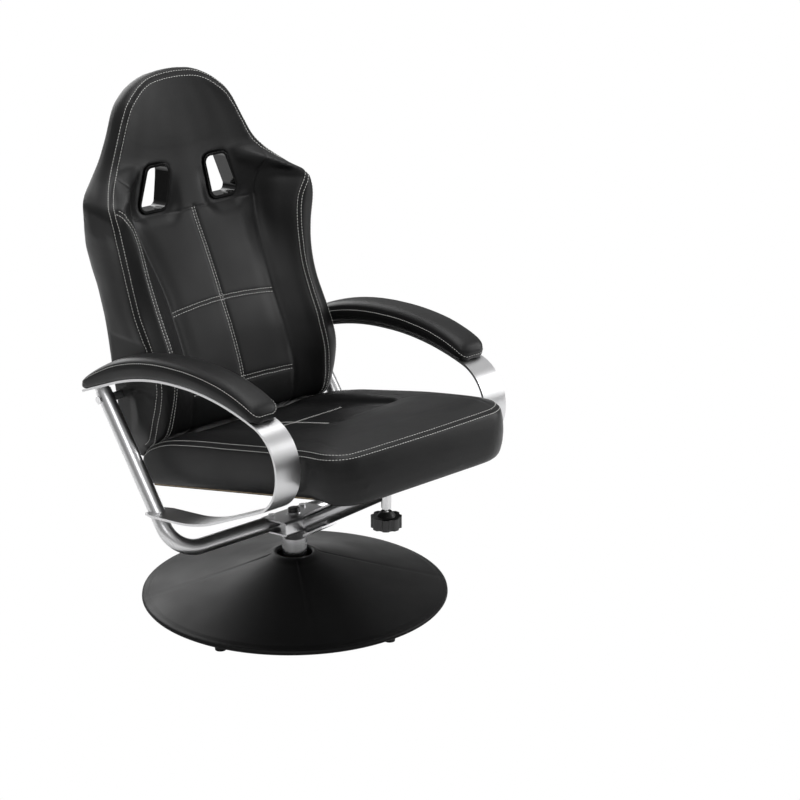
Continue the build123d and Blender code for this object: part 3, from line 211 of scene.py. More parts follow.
def set_coords(obj, co):
    obj.data.vertices.foreach_set("co", np.asarray(co, float).ravel())
    obj.data.update()


def normals(obj):
    no = np.empty(len(obj.data.vertices) * 3)
    obj.data.vertices.foreach_get("normal", no)
    return no.reshape(-1, 3)


def bake(obj):
    """Applies the object's modifiers to its mesh."""
    deps = bpy.context.evaluated_depsgraph_get()
    deps.update()
    mesh = bpy.data.meshes.new_from_object(obj.evaluated_get(deps))
    obj.modifiers.clear()
    old = obj.data
    obj.data = mesh
    bpy.data.meshes.remove(old)


def remesh(obj, size, relax):
    """An even skin of quads at the given size, in metres, relaxed in a few rounds."""
    mod = obj.modifiers.new("skin", "REMESH")
    mod.mode = "VOXEL"
    mod.voxel_size = size
    mod.use_smooth_shade = True
    bake(obj)
    mod = obj.modifiers.new("relax", "SMOOTH")
    mod.factor = 0.5
    mod.iterations = relax
    bake(obj)


def refine(obj):
    """Divides each face of the skin in four, once."""
    mod = obj.modifiers.new("fine", "SUBSURF")
    mod.levels = 1
    mod.render_levels = 1
    bake(obj)


def nearest(lines, co):
    """Distance in millimetres from each vertex to the nearest point of the lines."""
    sample_step = 2.0
    samples = np.vstack([even(line, sample_step) for line in lines])
    tree = KDTree(len(samples))
    for i, s in enumerate(place(samples)):
        tree.insert(Vector(s), i)
    tree.balance()
    return np.array([tree.find(Vector(c))[2] for c in co]) / MM


# A vertex that is held less than this moves freely
LEAST_HOLD = 0.01


def inflate(obj, hold, pressure, cap, frames, stiff, bend, smooth):
    """Blows the skin up as cloth, held where hold is 1, and keeps each move under the cap.

    The moves are evened out among neighbours in as many rounds as smooth says.
    """
    scene = bpy.context.scene
    rest = coords(obj)
    group = obj.vertex_groups.new(name="hold")
    for i, w in enumerate(hold):
        if w > LEAST_HOLD:
            group.add([i], float(w), "REPLACE")
    mod = obj.modifiers.new("cloth", "CLOTH")
    s = mod.settings
    s.quality = 5
    s.mass = 0.35
    s.tension_stiffness = stiff
    s.compression_stiffness = stiff
    s.shear_stiffness = stiff * 0.5
    s.bending_stiffness = bend
    s.use_pressure = True
    s.uniform_pressure_force = pressure
    s.vertex_group_mass = "hold"
    s.effector_weights.gravity = 0.0
    mod.collision_settings.use_collision = False
    mod.collision_settings.use_self_collision = False
    mod.point_cache.frame_start = 1
    mod.point_cache.frame_end = frames
    for f in range(1, frames + 1):
        scene.frame_set(f)
    deps = bpy.context.evaluated_depsgraph_get()
    done = obj.evaluated_get(deps).data
    co = np.empty(len(done.vertices) * 3)
    done.vertices.foreach_get("co", co)
    co = co.reshape(-1, 3)
    obj.modifiers.clear()
    obj.vertex_groups.clear()
    scene.frame_set(1)
    move = co - rest
    edges = np.array([tuple(e.vertices) for e in obj.data.edges])
    links = np.bincount(edges.ravel(), minlength=len(rest)).astype(float)[:, None]
    for _ in range(smooth):
        total = np.zeros_like(move)
        np.add.at(total, edges[:, 0], move[edges[:, 1]])
        np.add.at(total, edges[:, 1], move[edges[:, 0]])
        move = 0.5 * move + 0.5 * total / np.maximum(links, 1)
    far = np.linalg.norm(move, axis=1)
    keep = np.minimum(1.0, cap * MM / np.maximum(far, 1e-9))
    set_coords(obj, rest + move * keep[:, None])


def groove(obj, lines, depth, width):
    """Presses a soft valley into the skin along the lines, sizes in millimetres."""
    co = coords(obj)
    d = nearest(lines, co)
    press = depth * np.exp(-((d / width) ** 2)) * MM
    set_coords(obj, co - normals(obj) * press[:, None])


class Skin:
    """The finished surface of a piece, for laying thread and seams on it."""

    # How far from a point its surface is looked for, in metres
    reach = 0.08

    def __init__(self, obj):
        deps = bpy.context.evaluated_depsgraph_get()
        deps.update()
        self.tree = BVHTree.FromObject(obj, deps)

    def drop(self, point):
        """The nearest place on the surface and the normal there, or None twice."""
        return self.tree.find_nearest(Vector(point), self.reach)[:2]

    def lay(self, line, step):
        """The line, in millimetres, drawn onto the surface: points and normals in metres."""
        out_p, out_n = [], []
        for p in place(even(line, step)):
            q, n = self.drop(p)
            if q is None:
                continue
            out_p.append(q)
            out_n.append(n)
        return out_p, out_n


def offset_line(skin, line, distance):
    """A line beside another one on the surface, a distance to its left, in millimetres."""
    pts, nos = skin.lay(line, 3.0)
    out = []
    for i in range(len(pts)):
        a = pts[max(0, i - 2)]
        b = pts[min(len(pts) - 1, i + 2)]
        along = b - a
        if along.length < 1e-7:
            continue
        side = nos[i].cross(along.normalized()).normalized()
        out.append(pts[i] + side * distance * MM)
    out = unplace([tuple(p) for p in out])
    smooth = out.copy()
    for _ in range(3):
        smooth[1:-1] = (smooth[:-2] + smooth[1:-1] * 2 + smooth[2:]) / 4
    return smooth


STITCH_LENGTH = 4.6
STITCH_GAP = 1.9
STITCH_LIFT = 0.15
STITCH_STEP = 1.1
THREAD_RADIUS = 0.55
THREAD_SIDES = 6
# Each ring of a stitch: its place along it, its radius and its height, as shares
STITCH_RINGS = (
    (0.0, 0.25, -0.55), (0.12, 0.85, -0.1), (0.3, 1.0, 0.2),
    (0.7, 1.0, 0.2), (0.88, 0.85, -0.1), (1.0, 0.25, -0.55),
)


def at_length(at, s, values):
    """What three rows of values are at a distance along their line."""
    return np.array([np.interp(at, s, values[:, k]) for k in range(3)])


def stitches(name, skin, lines):
    """Short rounded stitches laid on a surface along the lines."""
    verts, faces = [], []
    sides = THREAD_SIDES
    for line in lines:
        pts, nos = skin.lay(line, STITCH_STEP)
        if len(pts) < 4:
            continue
        p = np.array([tuple(q) for q in pts]) / MM
        n = np.array([tuple(q) for q in nos])
        s = run_lengths(p)
        pitch = STITCH_LENGTH + STITCH_GAP
        count = max(1, int(s[-1] / pitch))
        pitch = s[-1] / count
        for i in range(count):
            first = i * pitch + STITCH_GAP / 2
            end = first + pitch - STITCH_GAP
            base = len(verts)
            for share, fat, up in STITCH_RINGS:
                at = first + (end - first) * share
                c = at_length(at, s, p)
                nn = at_length(at, s, n)
                nn /= np.linalg.norm(nn)
                t = at_length(min(s[-1], at + 1), s, p) - at_length(max(0, at - 1), s, p)
                t /= max(np.linalg.norm(t), 1e-9)
                side = np.cross(nn, t)
                side /= max(np.linalg.norm(side), 1e-9)
                centre = c + nn * (up * THREAD_RADIUS + STITCH_LIFT)
                for k in range(sides):
                    ang = 2 * math.pi * k / sides
                    v = centre + (side * math.cos(ang) + nn * math.sin(ang)) * THREAD_RADIUS * fat
                    verts.append(v * MM)
            last = base + (len(STITCH_RINGS) - 1) * sides
            for a in range(base, last, sides):
                b = a + sides
                for k in range(sides):
                    q = (k + 1) % sides
                    faces.append((a + k, a + q, b + q, b + k))
            faces.append(tuple(base + k for k in reversed(range(sides))))
            faces.append(tuple(last + k for k in range(sides)))
    return new_object(name, verts, faces)


# Materials


def add_node(tree_nodes, kind, values):
    """A node of this kind with values at its named inputs."""
    node = tree_nodes.new(kind)
    for name, value in values.items():
        node.inputs[name].default_value = value
    return node


def material(name, color, rough, metal=0.0):
    """A plain material, with its nodes, its links and its shader."""
    mat = bpy.data.materials.new(name)
    mat.use_nodes = True
    b = mat.node_tree.nodes["Principled BSDF"]
    b.inputs["Base Color"].default_value = (*color, 1)
    b.inputs["Roughness"].default_value = rough
    b.inputs["Metallic"].default_value = metal
    return mat, mat.node_tree.nodes, mat.node_tree.links, b


def add_bump(tree_nodes, links, shader, height, strength, distance):
    """Makes the shader's surface rise and fall with the height."""
    bump = add_node(tree_nodes, "ShaderNodeBump", {"Strength": strength, "Distance": distance})
    links.new(height, bump.inputs["Height"])
    links.new(bump.outputs["Normal"], shader.inputs["Normal"])


def add_noise(tree_nodes, links, scale, detail=2.0):
    """Noise that is fixed to the piece, from 0 to 1."""
    co = tree_nodes.new("ShaderNodeTexCoord")
    noise = add_node(tree_nodes, "ShaderNodeTexNoise", {"Scale": scale, "Detail": detail})
    links.new(co.outputs["Object"], noise.inputs["Vector"])
    return noise.outputs["Fac"]


def leather_material(name, tone, rough, shine):
    """Black leather: fine pebbled grain, broad soft sheen, slightly uneven polish."""
    mat, n, l, b = material(name, (tone, tone, tone * 1.03), rough)
    b.inputs["Specular IOR Level"].default_value = shine
    grain = n.new("ShaderNodeTexVoronoi")
    grain.feature = "SMOOTH_F1"
    grain.inputs["Scale"].default_value = 620.0
    grain.inputs["Smoothness"].default_value = 0.6
    l.new(n.new("ShaderNodeTexCoord").outputs["Object"], grain.inputs["Vector"])
    mix = n.new("ShaderNodeMath")
    mix.operation = "ADD"
    half = n.new("ShaderNodeMath")
    half.operation = "MULTIPLY"
    half.inputs[1].default_value = 0.6
    l.new(add_noise(n, l, 260.0, 4.0), half.inputs[0])
    l.new(grain.outputs["Distance"], mix.inputs[0])
    l.new(half.outputs[0], mix.inputs[1])
    add_bump(n, l, b, mix.outputs[0], 0.22, 0.0004)
    polish = {"From Min": 0.3, "From Max": 0.7, "To Min": rough - 0.05, "To Max": rough + 0.06}
    ramp = add_node(n, "ShaderNodeMapRange", polish)
    l.new(add_noise(n, l, 9.0, 3.0), ramp.inputs["Value"])
    l.new(ramp.outputs["Result"], b.inputs["Roughness"])
    return mat


def steel_material(name, tone, rough, brushed=True):
    """Steel, its polish slightly uneven where it is brushed."""
    mat, n, l, b = material(name, (tone, tone, tone * 1.01), rough, 1.0)
    if brushed:
        streak = add_noise(n, l, 420.0, 3.0)
        polish = {"To Min": rough - 0.05, "To Max": rough + 0.07}
        ramp = add_node(n, "ShaderNodeMapRange", polish)
        l.new(streak, ramp.inputs["Value"])
        l.new(ramp.outputs["Result"], b.inputs["Roughness"])
        add_bump(n, l, b, streak, 0.05, 0.0002)
    return mat


def plastic_material(name, tone, rough):
    """Plastic or paint with a very fine grain."""
    mat, n, l, b = material(name, (tone, tone, tone), rough)
    add_bump(n, l, b, add_noise(n, l, 900.0), 0.06, 0.0002)
    return mat


def board_material():
    """Raw board, mottled in two browns."""
    mat, n, l, b = material("board", (0.4, 0.3, 0.19), 0.75)
    ramp = n.new("ShaderNodeValToRGB")
    ramp.color_ramp.elements[0].color = (0.25, 0.18, 0.1, 1)
    ramp.color_ramp.elements[1].color = (0.5, 0.38, 0.24, 1)
    l.new(add_noise(n, l, 240.0, 6.0), ramp.inputs["Fac"])
    l.new(ramp.outputs["Color"], b.inputs["Base Color"])
    return mat


def cloth_material():
    """The thin black cloth under the seat."""
    mat, n, l, b = material("under_cloth", (0.02, 0.02, 0.02), 0.9)
    add_bump(n, l, b, add_noise(n, l, 700.0), 0.3, 0.0003)
    return mat


def thread_material():
    """Pale grey sewing thread."""
    mat, n, l, b = material("thread", (0.62, 0.62, 0.6), 0.7)
    add_bump(n, l, b, add_noise(n, l, 1500.0), 0.4, 0.0003)
    return mat


leather = leather_material("leather", 0.0062, 0.43, 0.25)
leather_base = leather_material("base_leather", 0.005, 0.42, 0.12)
steel = steel_material("satin_steel", 0.62, 0.3)
bright_steel = steel_material("bright_steel", 0.75, 0.18)
dark_steel = steel_material("dark_steel", 0.08, 0.4, False)
black_paint = plastic_material("black_paint", 0.015, 0.35)
plastic = plastic_material("black_plastic", 0.012, 0.34)
bezel_plastic = plastic_material("bezel_plastic", 0.003, 0.14)
bezel_plastic.node_tree.nodes["Principled BSDF"].inputs["Specular IOR Level"].default_value = 0.3
board = board_material()
under_cloth = cloth_material()
thread = thread_material()

FINISH = (
    (plastic, (
        "base_feet", "post_bushes", "thrust_washer", "clamp_saddle", "clamp_shoe", "knob",
        "rail_caps",
    )),
    (board, (
        "base_board", "arm_pad_board_right", "arm_pad_board_left", "seat_board", "back_board",
    )),
    (black_paint, (
        "base_dome", "post_flange", "seat_lugs", "back_lugs", "hinge_bracket_right",
        "hinge_bracket_left",
    )),
    (leather_base, ("base_cover", "base_collar")),
    (steel, (
        "flange_bolts", "bracket_channel", "channel_spacer", "centre_washer", "side_tube_right",
        "side_tube_left", "tube_spigots", "tube_plugs", "arm_bar_right", "arm_bar_left",
        "support_tube", "support_gussets", "clamp_barrel", "seat_rail", "pivot_spacers",
    )),
    (bright_steel, (
        "post_tube", "bush_screws", "spigot_bolts", "pad_screws", "guide_bolt", "clamp_stud",
        "knob_insert", "rail_screws", "lug_screws", "bracket_screws", "pivot_bolts",
    )),
    (dark_steel, ("spindle", "centre_bolt")),
    (leather, (
        "arm_pad_right", "arm_pad_left", "seat_cushion", "back_cushion", "back_rear_cover",
    )),
    (under_cloth, ("seat_dust_cover",)),
    (bezel_plastic, ("head_bezel_right", "head_bezel_left")),
)


def dress(obj, mat):
    """Gives the piece this material alone."""
    obj.data.materials.clear()
    obj.data.materials.append(mat)


for mat, names in FINISH:
    for name in names:
        dress(nodes[name], mat)

# Back: tracks that run up it, each as heights and the places there, in millimetres

BACK_LOW = 314.0
BACK_TOP = 1067.0
# Above here the head turns smooth, over the stretch that follows
SMOOTH_FROM = 852.0
SMOOTH_OVER = 45.0
# How round the back's rear corners are, as heights and radii
REAR_CORNERS = ((480, 600, 745, 790, 815, 850), (9.0, 24.0, 24.0, 38.0, 38.0, 24.0))
# The rows of the skin: from one height to the next, and how many
BACK_ROWS = ((BACK_LOW, 326, 4), (326, 372, 18), (372, 780, 52), (780, 880, 34), (880, 1034, 24))
back_centre = hermite(
    (314, 326, 340, 352, 362, 375, 400, 447, 530, 609, 700, 790, 885, 964, 1025, 1050, 1060, 1067),
    (214, 211, 196, 181, 168, 153, 151, 155, 182, 218, 262, 307, 331, 350, 361, 366, 369, 376),
)
seam_x = hermite(
    (314, 431, 610, 740, 786, 831, 877, 949, 1009, 1040, 1067),
    (138, 137, 136, 152, 160, 150, 125, 98, 76, 50, 5),
)
seam_y = hermite(
    (314, 326, 340, 352, 362, 372, 400, 431, 610, 786, 831, 877, 949, 1009, 1040, 1060, 1067),
    (215, 212, 197, 182, 169, 158, 153, 151, 218, 305, 314, 323, 341, 355, 362, 369, 376),
)
crest_x = hermite(
    (
        314, 350, 410, 476, 550, 649, 700, 749, 792, 812, 826, 838, 850, 877, 905, 949, 1009, 1034,
        1051, 1062, 1067,
    ),
    (
        208, 213, 210, 203, 198, 200, 204, 209, 219, 230, 240, 237, 216, 184, 160, 135, 102, 79,
        54, 30, 6,
    ),
)
crest_y = hermite(
    (
        314, 326, 340, 352, 362, 372, 385, 410, 440, 476, 500, 530, 550, 600, 649, 700, 749, 792,
        812, 826, 838, 850, 877, 905, 949, 1009, 1034, 1051, 1062, 1067,
    ),
    (
        215, 211, 195, 178, 160, 146, 137, 129, 124, 121, 124, 132, 138, 163, 185, 201, 212, 218,
        218, 221, 227, 242, 278, 301, 327, 350, 358, 364, 370, 377,
    ),
)
border_x = hermite(
    (
        314, 345, 370, 425, 497, 584, 651, 694, 740, 781, 800, 815, 831, 840, 847, 862, 877, 905,
        949, 1009, 1034, 1051, 1062, 1067,
    ),
    (
        222, 230, 237, 240, 240, 240, 241, 244, 251, 259, 261, 260, 255, 247, 237, 220, 204, 182,
        161, 129, 101, 75, 44, 9,
    ),
)
border_y = hermite(
    (
        314, 326, 340, 350, 358, 370, 385, 410, 440, 461, 480, 497, 515, 540, 584, 620, 651, 694,
        740, 781, 800, 815, 831, 840, 847, 862, 877, 905, 949, 1009, 1034, 1051, 1062, 1067,
    ),
    (
        216, 212, 196, 183, 171, 164, 157, 149, 139, 135, 133, 134, 139, 151, 175, 195, 206, 216,
        221, 222.5, 226, 233, 246, 260, 273, 294, 310, 326, 334, 345, 353, 361, 371, 378,
    ),
)
half_width = hermite(
    (
        314, 330, 345, 375, 400, 430, 455, 475, 550, 650, 700, 750, 790, 815, 832, 847, 862, 877,
        905, 949, 1009, 1034, 1051, 1062, 1067,
    ),
    (
        214, 226, 232, 241, 244, 243.5, 241, 240, 240, 242, 246, 254, 262, 263, 259, 247, 231, 215,
        192, 168, 139, 113, 85, 54, 14,
    ),
)
rear_side = hermite(
    (
        314, 375, 445, 463, 485, 522, 547, 650, 715, 750, 780, 800, 820, 832, 847, 862, 877, 905,
        949, 1009, 1034, 1051, 1062, 1067,
    ),
    (
        262, 270, 281, 288, 293, 301, 307, 338, 358, 361, 361, 361, 360, 361, 366, 373, 380, 387,
        393, 400, 402, 399, 393, 387,
    ),
)
rear_centre = hermite(
    (314, 375, 445, 550, 650, 750, 832, 877, 949, 1009, 1034, 1051, 1062, 1067),
    (263, 270, 275, 312, 345, 372, 378, 385, 394, 401, 403, 400, 394, 388),
)


def back_ring(z):
    """The back's outline at a height, from the front centre round to itself."""
    c = float(back_centre(z))
    sx, sy = float(seam_x(z)), float(seam_y(z))
    bx, by = float(crest_x(z)), float(crest_y(z))
    ex, ey = float(border_x(z)), float(border_y(z))
    w = float(half_width(z))
    rs, rc = float(rear_side(z)), float(rear_centre(z))
    # Up in the head, the panel seam and the bolster lie on a smooth curve to the border
    k = min(1.0, max(0.0, (z - SMOOTH_FROM) / SMOOTH_OVER))
    k = k * k * (3 - 2 * k)
    sx += (ex * 0.45 - sx) * k
    sy += (c + (ey - c) * 0.17 - sy) * k
    bx += (ex * 0.76 - bx) * k
    by += (c + (ey - c) * 0.52 - by) * k
    depth = max(rs - ey, 6.0)
    r = min(float(np.interp(z, *REAR_CORNERS)), depth * 0.4, w * 0.5)
    lift = min(5.0, 0.12 * math.hypot(bx - sx, by - sy)) * (1 - k)
    run = np.array([bx - sx, by - sy])
    norm = np.array([run[1], -run[0]]) / max(np.linalg.norm(run), 1e-6)
    mid = np.array([sx, sy]) + run * 0.55 + norm * (-lift if norm[1] < 0 else lift)
    half = [
        (0.0, c),
        (sx * 0.33, c + (sy - c) * 0.1),
        (sx * 0.7, c + (sy - c) * 0.5),
        (sx, sy),
        (mid[0], mid[1]),
        (bx, by),
        ((bx + ex) / 2 + 3 * (1 - k), (by + ey) / 2 - 5 * (1 - k)),
        (ex, ey),
        (max(w - 0.5, ex), ey + depth * 0.3),
        (w, ey + depth * 0.55),
        (w - r * 0.05, rs - r),
        (w - r * 0.3, rs - r * 0.3),
        (w - r, rs),
        (w * 0.5, rc * 0.6 + rs * 0.4),
        (0.0, rc),
    ]
    right = through(half, 8)
    left = mirror_x(right)[::-1][1:-1]
    return [(x, y, z) for x, y in np.vstack([right, left])]


levels = np.concatenate(
    [np.linspace(start, end, count, endpoint=False) for start, end, count in BACK_ROWS]
    + [np.linspace(BACK_ROWS[-1][1], BACK_TOP, 14)]
)
back = ring_mesh("back_soft", [place(back_ring(z)) for z in levels])

# The head holes: their axis tilts, and their sides stand closer together at the top
HOLE_TILT = math.radians(4.5)
HOLE_MIDDLE = np.array([0.0, 323.0, 839.0])
HOLE_RISE = 43.0 / math.cos(HOLE_TILT)
HOLE_LOW_SIDES = (63, 130)
HOLE_HIGH_SIDES = (48, 100)
HOLE_CORNER = 13.0
# The cut through the leather: places along the axis, and how far it stands outside the hole
HOLE_CUT = ((-150.0, 22.0), (-66.0, 15.0), (-43.0, 3.6), (140.0, 3.6))
BEZEL_LIP = 5.5
LEATHER_STAND_OFF = 0.4
LIP_TUCK = 5.0


def hole_corners(grow):
    """The head hole's corners seen along its axis: out from the middle, and up."""
    return (
        (HOLE_LOW_SIDES[1] + grow, -HOLE_RISE - grow),
        (HOLE_LOW_SIDES[0] - grow, -HOLE_RISE - grow),
        (HOLE_HIGH_SIDES[0] - grow, HOLE_RISE + grow),
        (HOLE_HIGH_SIDES[1] + grow, HOLE_RISE + grow),
    )


def hole_outline(grow):
    """The hole's outline with its round corners, grown outward."""
    corners = np.array(hole_corners(grow))
    outline = []
    for i in range(4):
        outline += round_corner(
            corners[i - 1], corners[i], corners[(i + 1) % 4], HOLE_CORNER + grow, 6
        )
    return outline


def head_hole_cutter(side):
    """A slanted prism through the head: close round the moulded sleeve, flared behind it."""
    up = np.array([0.0, math.sin(HOLE_TILT), math.cos(HOLE_TILT)])
    ahead = np.array([0.0, -math.cos(HOLE_TILT), math.sin(HOLE_TILT)])
    rings = []
    for along, grow in HOLE_CUT:
        rings.append(place([
            HOLE_MIDDLE + np.array([side * u, 0, 0]) + up * v + ahead * along
            for u, v in hole_outline(grow)
        ]))
    return ring_mesh(f"hole_{side}", rings)


for side in (-1, 1):
    cutter = head_hole_cutter(side)
    mod = back.modifiers.new("hole", "BOOLEAN")
    mod.operation = "DIFFERENCE"
    mod.object = cutter
    mod.solver = "EXACT"
    bake(back)
    bpy.data.objects.remove(cutter)

remesh(back, 0.005, 3)


def beside_hole(points):
    """How far points lie outside the bezel's lip, seen from the front, in millimetres."""
    ring = np.array(hole_outline(BEZEL_LIP)) + np.array([0.0, HOLE_MIDDLE[2]])
    p = np.stack([np.abs(points[:, 0]), points[:, 2]], 1)
    best = np.full(len(p), 1e9)
    inside = np.ones(len(p), bool)
    for a, b in zip(ring, np.roll(ring, -1, axis=0)):
        ab = b - a
        t = np.clip(((p - a) @ ab) / max(ab @ ab, 1e-9), 0, 1)
        best = np.minimum(best, np.linalg.norm(p - (a + t[:, None] * ab), axis=1))
        inside &= (ab[0] * (p[:, 1] - a[1]) - ab[1] * (p[:, 0] - a[0])) <= 0
    return np.where(inside, 0.0, best)


def dip_to_bezels():
    """Draws the leather down to meet the bezels, and under their lips."""
    mm = unplace(coords(back))
    far = beside_hole(mm)
    plane_y = HOLE_MIDDLE[1] + (mm[:, 2] - HOLE_MIDDLE[2]) * math.tan(HOLE_TILT)
    plane_y += LEATHER_STAND_OFF + LIP_TUCK * np.exp(-((far / 2.2) ** 2))
    ahead_of = np.maximum(plane_y - mm[:, 1], 0.0)
    mm[:, 1] += ahead_of * np.exp(-((far / 15.0) ** 2)) * (ahead_of < 60)
    set_coords(back, place(mm))


dip_to_bezels()


def track(xs, ys, heights):
    """The line up the back that two of its tracks give."""
    return np.array([(float(xs(z)), float(ys(z)), z) for z in heights])


def both(line):
    """A line and its mirror image."""
    return [np.asarray(line, float), mirror_x(line)]


wing_heights = [
    826, 831, 836, 841, 847, 855, 862, 870, 877, 890, 905, 925, 949, 980, 1009, 1022, 1034,
]
border_side = track(border_x, border_y, list(np.linspace(345, 820, 60)) + wing_heights)
border_top = np.array([(84, 356, 1046), (60, 360, 1055), (30, 362, 1059), (0, 363, 1060)])
border_half = np.vstack([border_side, border_top])
border_line = np.vstack([border_half, mirror_x(border_half)[::-1][1:]])
border_line = even(through(even(border_line, 14.0), 4), 3.0)
bolster_half = track(crest_x, crest_y, np.linspace(352, 826, 60))
bolster_half = np.vstack([bolster_half, [(246, 229, 832), (251, 236, 837)]])
seam_half = track(seam_x, seam_y, np.linspace(352, 788, 50))
centre_line = np.array([(0, float(back_centre(z)), z) for z in np.linspace(372, 788, 40)])


def cross_line(z, drop, reach=134):
    """A seam across the middle panel that sinks towards its ends."""
    return np.array([
        (x, float(back_centre(z - drop * (x / reach) ** 2)) - 2, z - drop * (x / reach) ** 2)
        for x in np.linspace(-reach, reach, 30)
    ])


upper_cross = cross_line(611, 9)
lower_cross = cross_line(449, 4)
front_skin = Skin(back)
AHEAD_OF_BACK = 60.0


def on_front(line):
    """A line carried to the back's front surface, straight from ahead."""
    out = []
    for x, y, z in even(np.array(line, float), 5.0):
        start = Vector(place([(x, AHEAD_OF_BACK, z)])[0])
        hit = front_skin.tree.ray_cast(start, Vector((0, 1, 0)), 0.5)[0]
        if hit is not None:
            out.append(unplace([tuple(hit)])[0])
    return np.array(out)


hole_seam = on_front([
    (150, 303, 786), (125, 303, 784), (100, 302, 783.5), (60, 303, 784), (0, 304, 787),
    (-60, 303, 784), (-100, 302, 783.5), (-125, 303, 784), (-150, 303, 786),
])
wing_half = on_front([
    (160, 304, 788), (163, 309, 812), (170, 314, 838), (180, 318, 862), (192, 318, 884),
])
gusset_low = np.array([(246, 258, 797), (256, 285, 800), (256, 330, 803), (254, 352, 805)])
gusset_high = np.array([(196, 316, 890), (208, 335, 892), (206, 350, 894)])
rear_border = track(half_width, rear_side, np.linspace(330, 1034, 70)) - np.array([5.0, 2.0, 0.0])

back_seams = [border_line, centre_line, upper_cross, lower_cross]
back_seams += both(bolster_half) + both(seam_half)
back_soft_seams = [hole_seam] + both(wing_half)
rear_seams = both(rear_border)


def hold_weights(co, lines, inner, outer):
    """1 within the inner distance of the lines, falling to 0 at the outer one."""
    d = nearest(lines, co)
    return np.clip((outer - d) / (outer - inner), 0, 1)


co = coords(back)
mm = unplace(co)
hold = hold_weights(co, back_seams + back_soft_seams, 3.0, 9.0)
hold = np.maximum(hold, hold_weights(co, rear_seams, 2.0, 6.0) * 0.8)
# Held fast: round the head holes and at the foot; held back: the rear and beside the tubes
out, high = np.abs(mm[:, 0]), mm[:, 2]
hold[(out > 30) & (out < 148) & (high > 772) & (high < 908)] = 1.0
hold[high < 372] = 1.0
rear = mm[:, 1] > np.array([float(rear_centre(z)) for z in high]) - 26
rear &= out < 225
hold[rear] = np.maximum(hold[rear], 0.93)
beside = (out > 232) & (high < 560)
hold[beside] = np.maximum(hold[beside], 0.9)
inflate(back, hold, pressure=3.6, cap=16.0, frames=20, stiff=14.0, bend=0.8, smooth=36)

# The sides stay clear of the side tubes, with a little more room ahead of them, low down
TUBES_TOP = 570
BETWEEN_TUBES = 239.6
AHEAD_OF_TUBES = 6.0
ABOVE_TUBES = 262.0
co = coords(back)
mm = unplace(co)
ahead_room = np.clip((228.0 - mm[:, 1]) / 40.0, 0, 1) * np.clip((466.0 - mm[:, 2]) / 26.0, 0, 1)
limit = np.where(mm[:, 2] < TUBES_TOP, BETWEEN_TUBES + AHEAD_OF_TUBES * ahead_room, ABOVE_TUBES)
mm[:, 0] = np.clip(mm[:, 0], -limit, limit)
set_coords(back, place(mm))
groove(back, back_seams, 2.6, 5.0)
groove(back, rear_seams, 1.4, 3.0)
refine(back)
groove(back, back_soft_seams + both(gusset_low) + both(gusset_high), 2.0, 2.0)
dip_to_bezels()
back.name = "back_upholstery"
dress(back, leather)
back_skin = Skin(back)

# Seat: in its own tilted frame, y back and z up from its underside

SEAT_TILT = math.radians(12.5)
SEAT_HEIGHT = 302.0
SEAT_HALF_WIDTH = 238.0
SEAT_FRONT = -432.0
SEAT_REAR = 200.5
FRONT_CORNER = 58.0
REAR_CORNER = 16.0
# The front edge lies this much further back at its corners than in its middle
FRONT_BOW = 9.0
# The top falls from its crest to the edge over these stretches, at the sides and in front
SIDE_FALL = 46.0
FRONT_FALL = 60.0
FRONT_LIP_HEIGHT = 84.0
RECESS_HALF_WIDTH = 142.0
RECESS_FRONT = -200.0
RECESS_CORNER = 34.0
RECESS_DEPTH = 22.0
# The seat's sides stay within this half width, clear of the side tubes
SEAT_WIDEST = 244.0


def seat_out(points):
    """From the seat's frame to millimetres about the swivel axis."""
    p = np.asarray(points, float).reshape(-1, 3)
    y = p[:, 1] * math.cos(SEAT_TILT) + p[:, 2] * math.sin(SEAT_TILT)
    z = SEAT_HEIGHT - p[:, 1] * math.sin(SEAT_TILT) + p[:, 2] * math.cos(SEAT_TILT)
    return np.stack([p[:, 0], y, z], 1)


def seat_in(points):
    """The way back: from millimetres about the swivel axis to the seat's frame."""
    p = np.asarray(points, float).reshape(-1, 3)
    rise = p[:, 2] - SEAT_HEIGHT
    y = p[:, 1] * math.cos(SEAT_TILT) - rise * math.sin(SEAT_TILT)
    z = p[:, 1] * math.sin(SEAT_TILT) + rise * math.cos(SEAT_TILT)
    return np.stack([p[:, 0], y, z], 1)


def seat_plan(inset, count=160, rounder=0.0):
    """The seat's plan outline, drawn in by an inset, its front corners made rounder."""
    w = SEAT_HALF_WIDTH - inset
    front = SEAT_FRONT + inset
    rear = SEAT_REAR - inset * (0.45 if inset < 20.0 else 1.0)
    rf = max(FRONT_CORNER + rounder - inset * 0.4, 12.0)
    rr = max(REAR_CORNER - inset * 0.3, 6.0)
    pts = []

    def arc(cx, cy, r, a0, a1, n):
        for a in np.linspace(a0, a1, n, endpoint=False):
            pts.append((cx + r * math.cos(a), cy + r * math.sin(a)))

    arc(w - rf, front + rf, rf, -math.pi / 2, 0, 16)
    pts.append((w, front + rf))
    pts.append((w, (front + rear) / 2))
    arc(w - rr, rear - rr, rr, 0, math.pi / 2, 10)
    arc(-w + rr, rear - rr, rr, math.pi / 2, math.pi, 10)
    pts.append((-w, (front + rear) / 2))
    pts.append((-w, front + rf))
    arc(-w + rf, front + rf, rf, math.pi, 1.5 * math.pi, 16)
    p = even(np.array(pts + [pts[0]]), 1.0)
    bow = np.clip((-p[:, 1] - 330) / 100, 0, 1)
    p[:, 1] += bow * FRONT_BOW * (p[:, 0] / SEAT_HALF_WIDTH) ** 2
    s = run_lengths(p)
    q = np.linspace(0, s[-1], count, endpoint=False)
    return np.stack([np.interp(q, s, p[:, 0]), np.interp(q, s, p[:, 1])], 1)


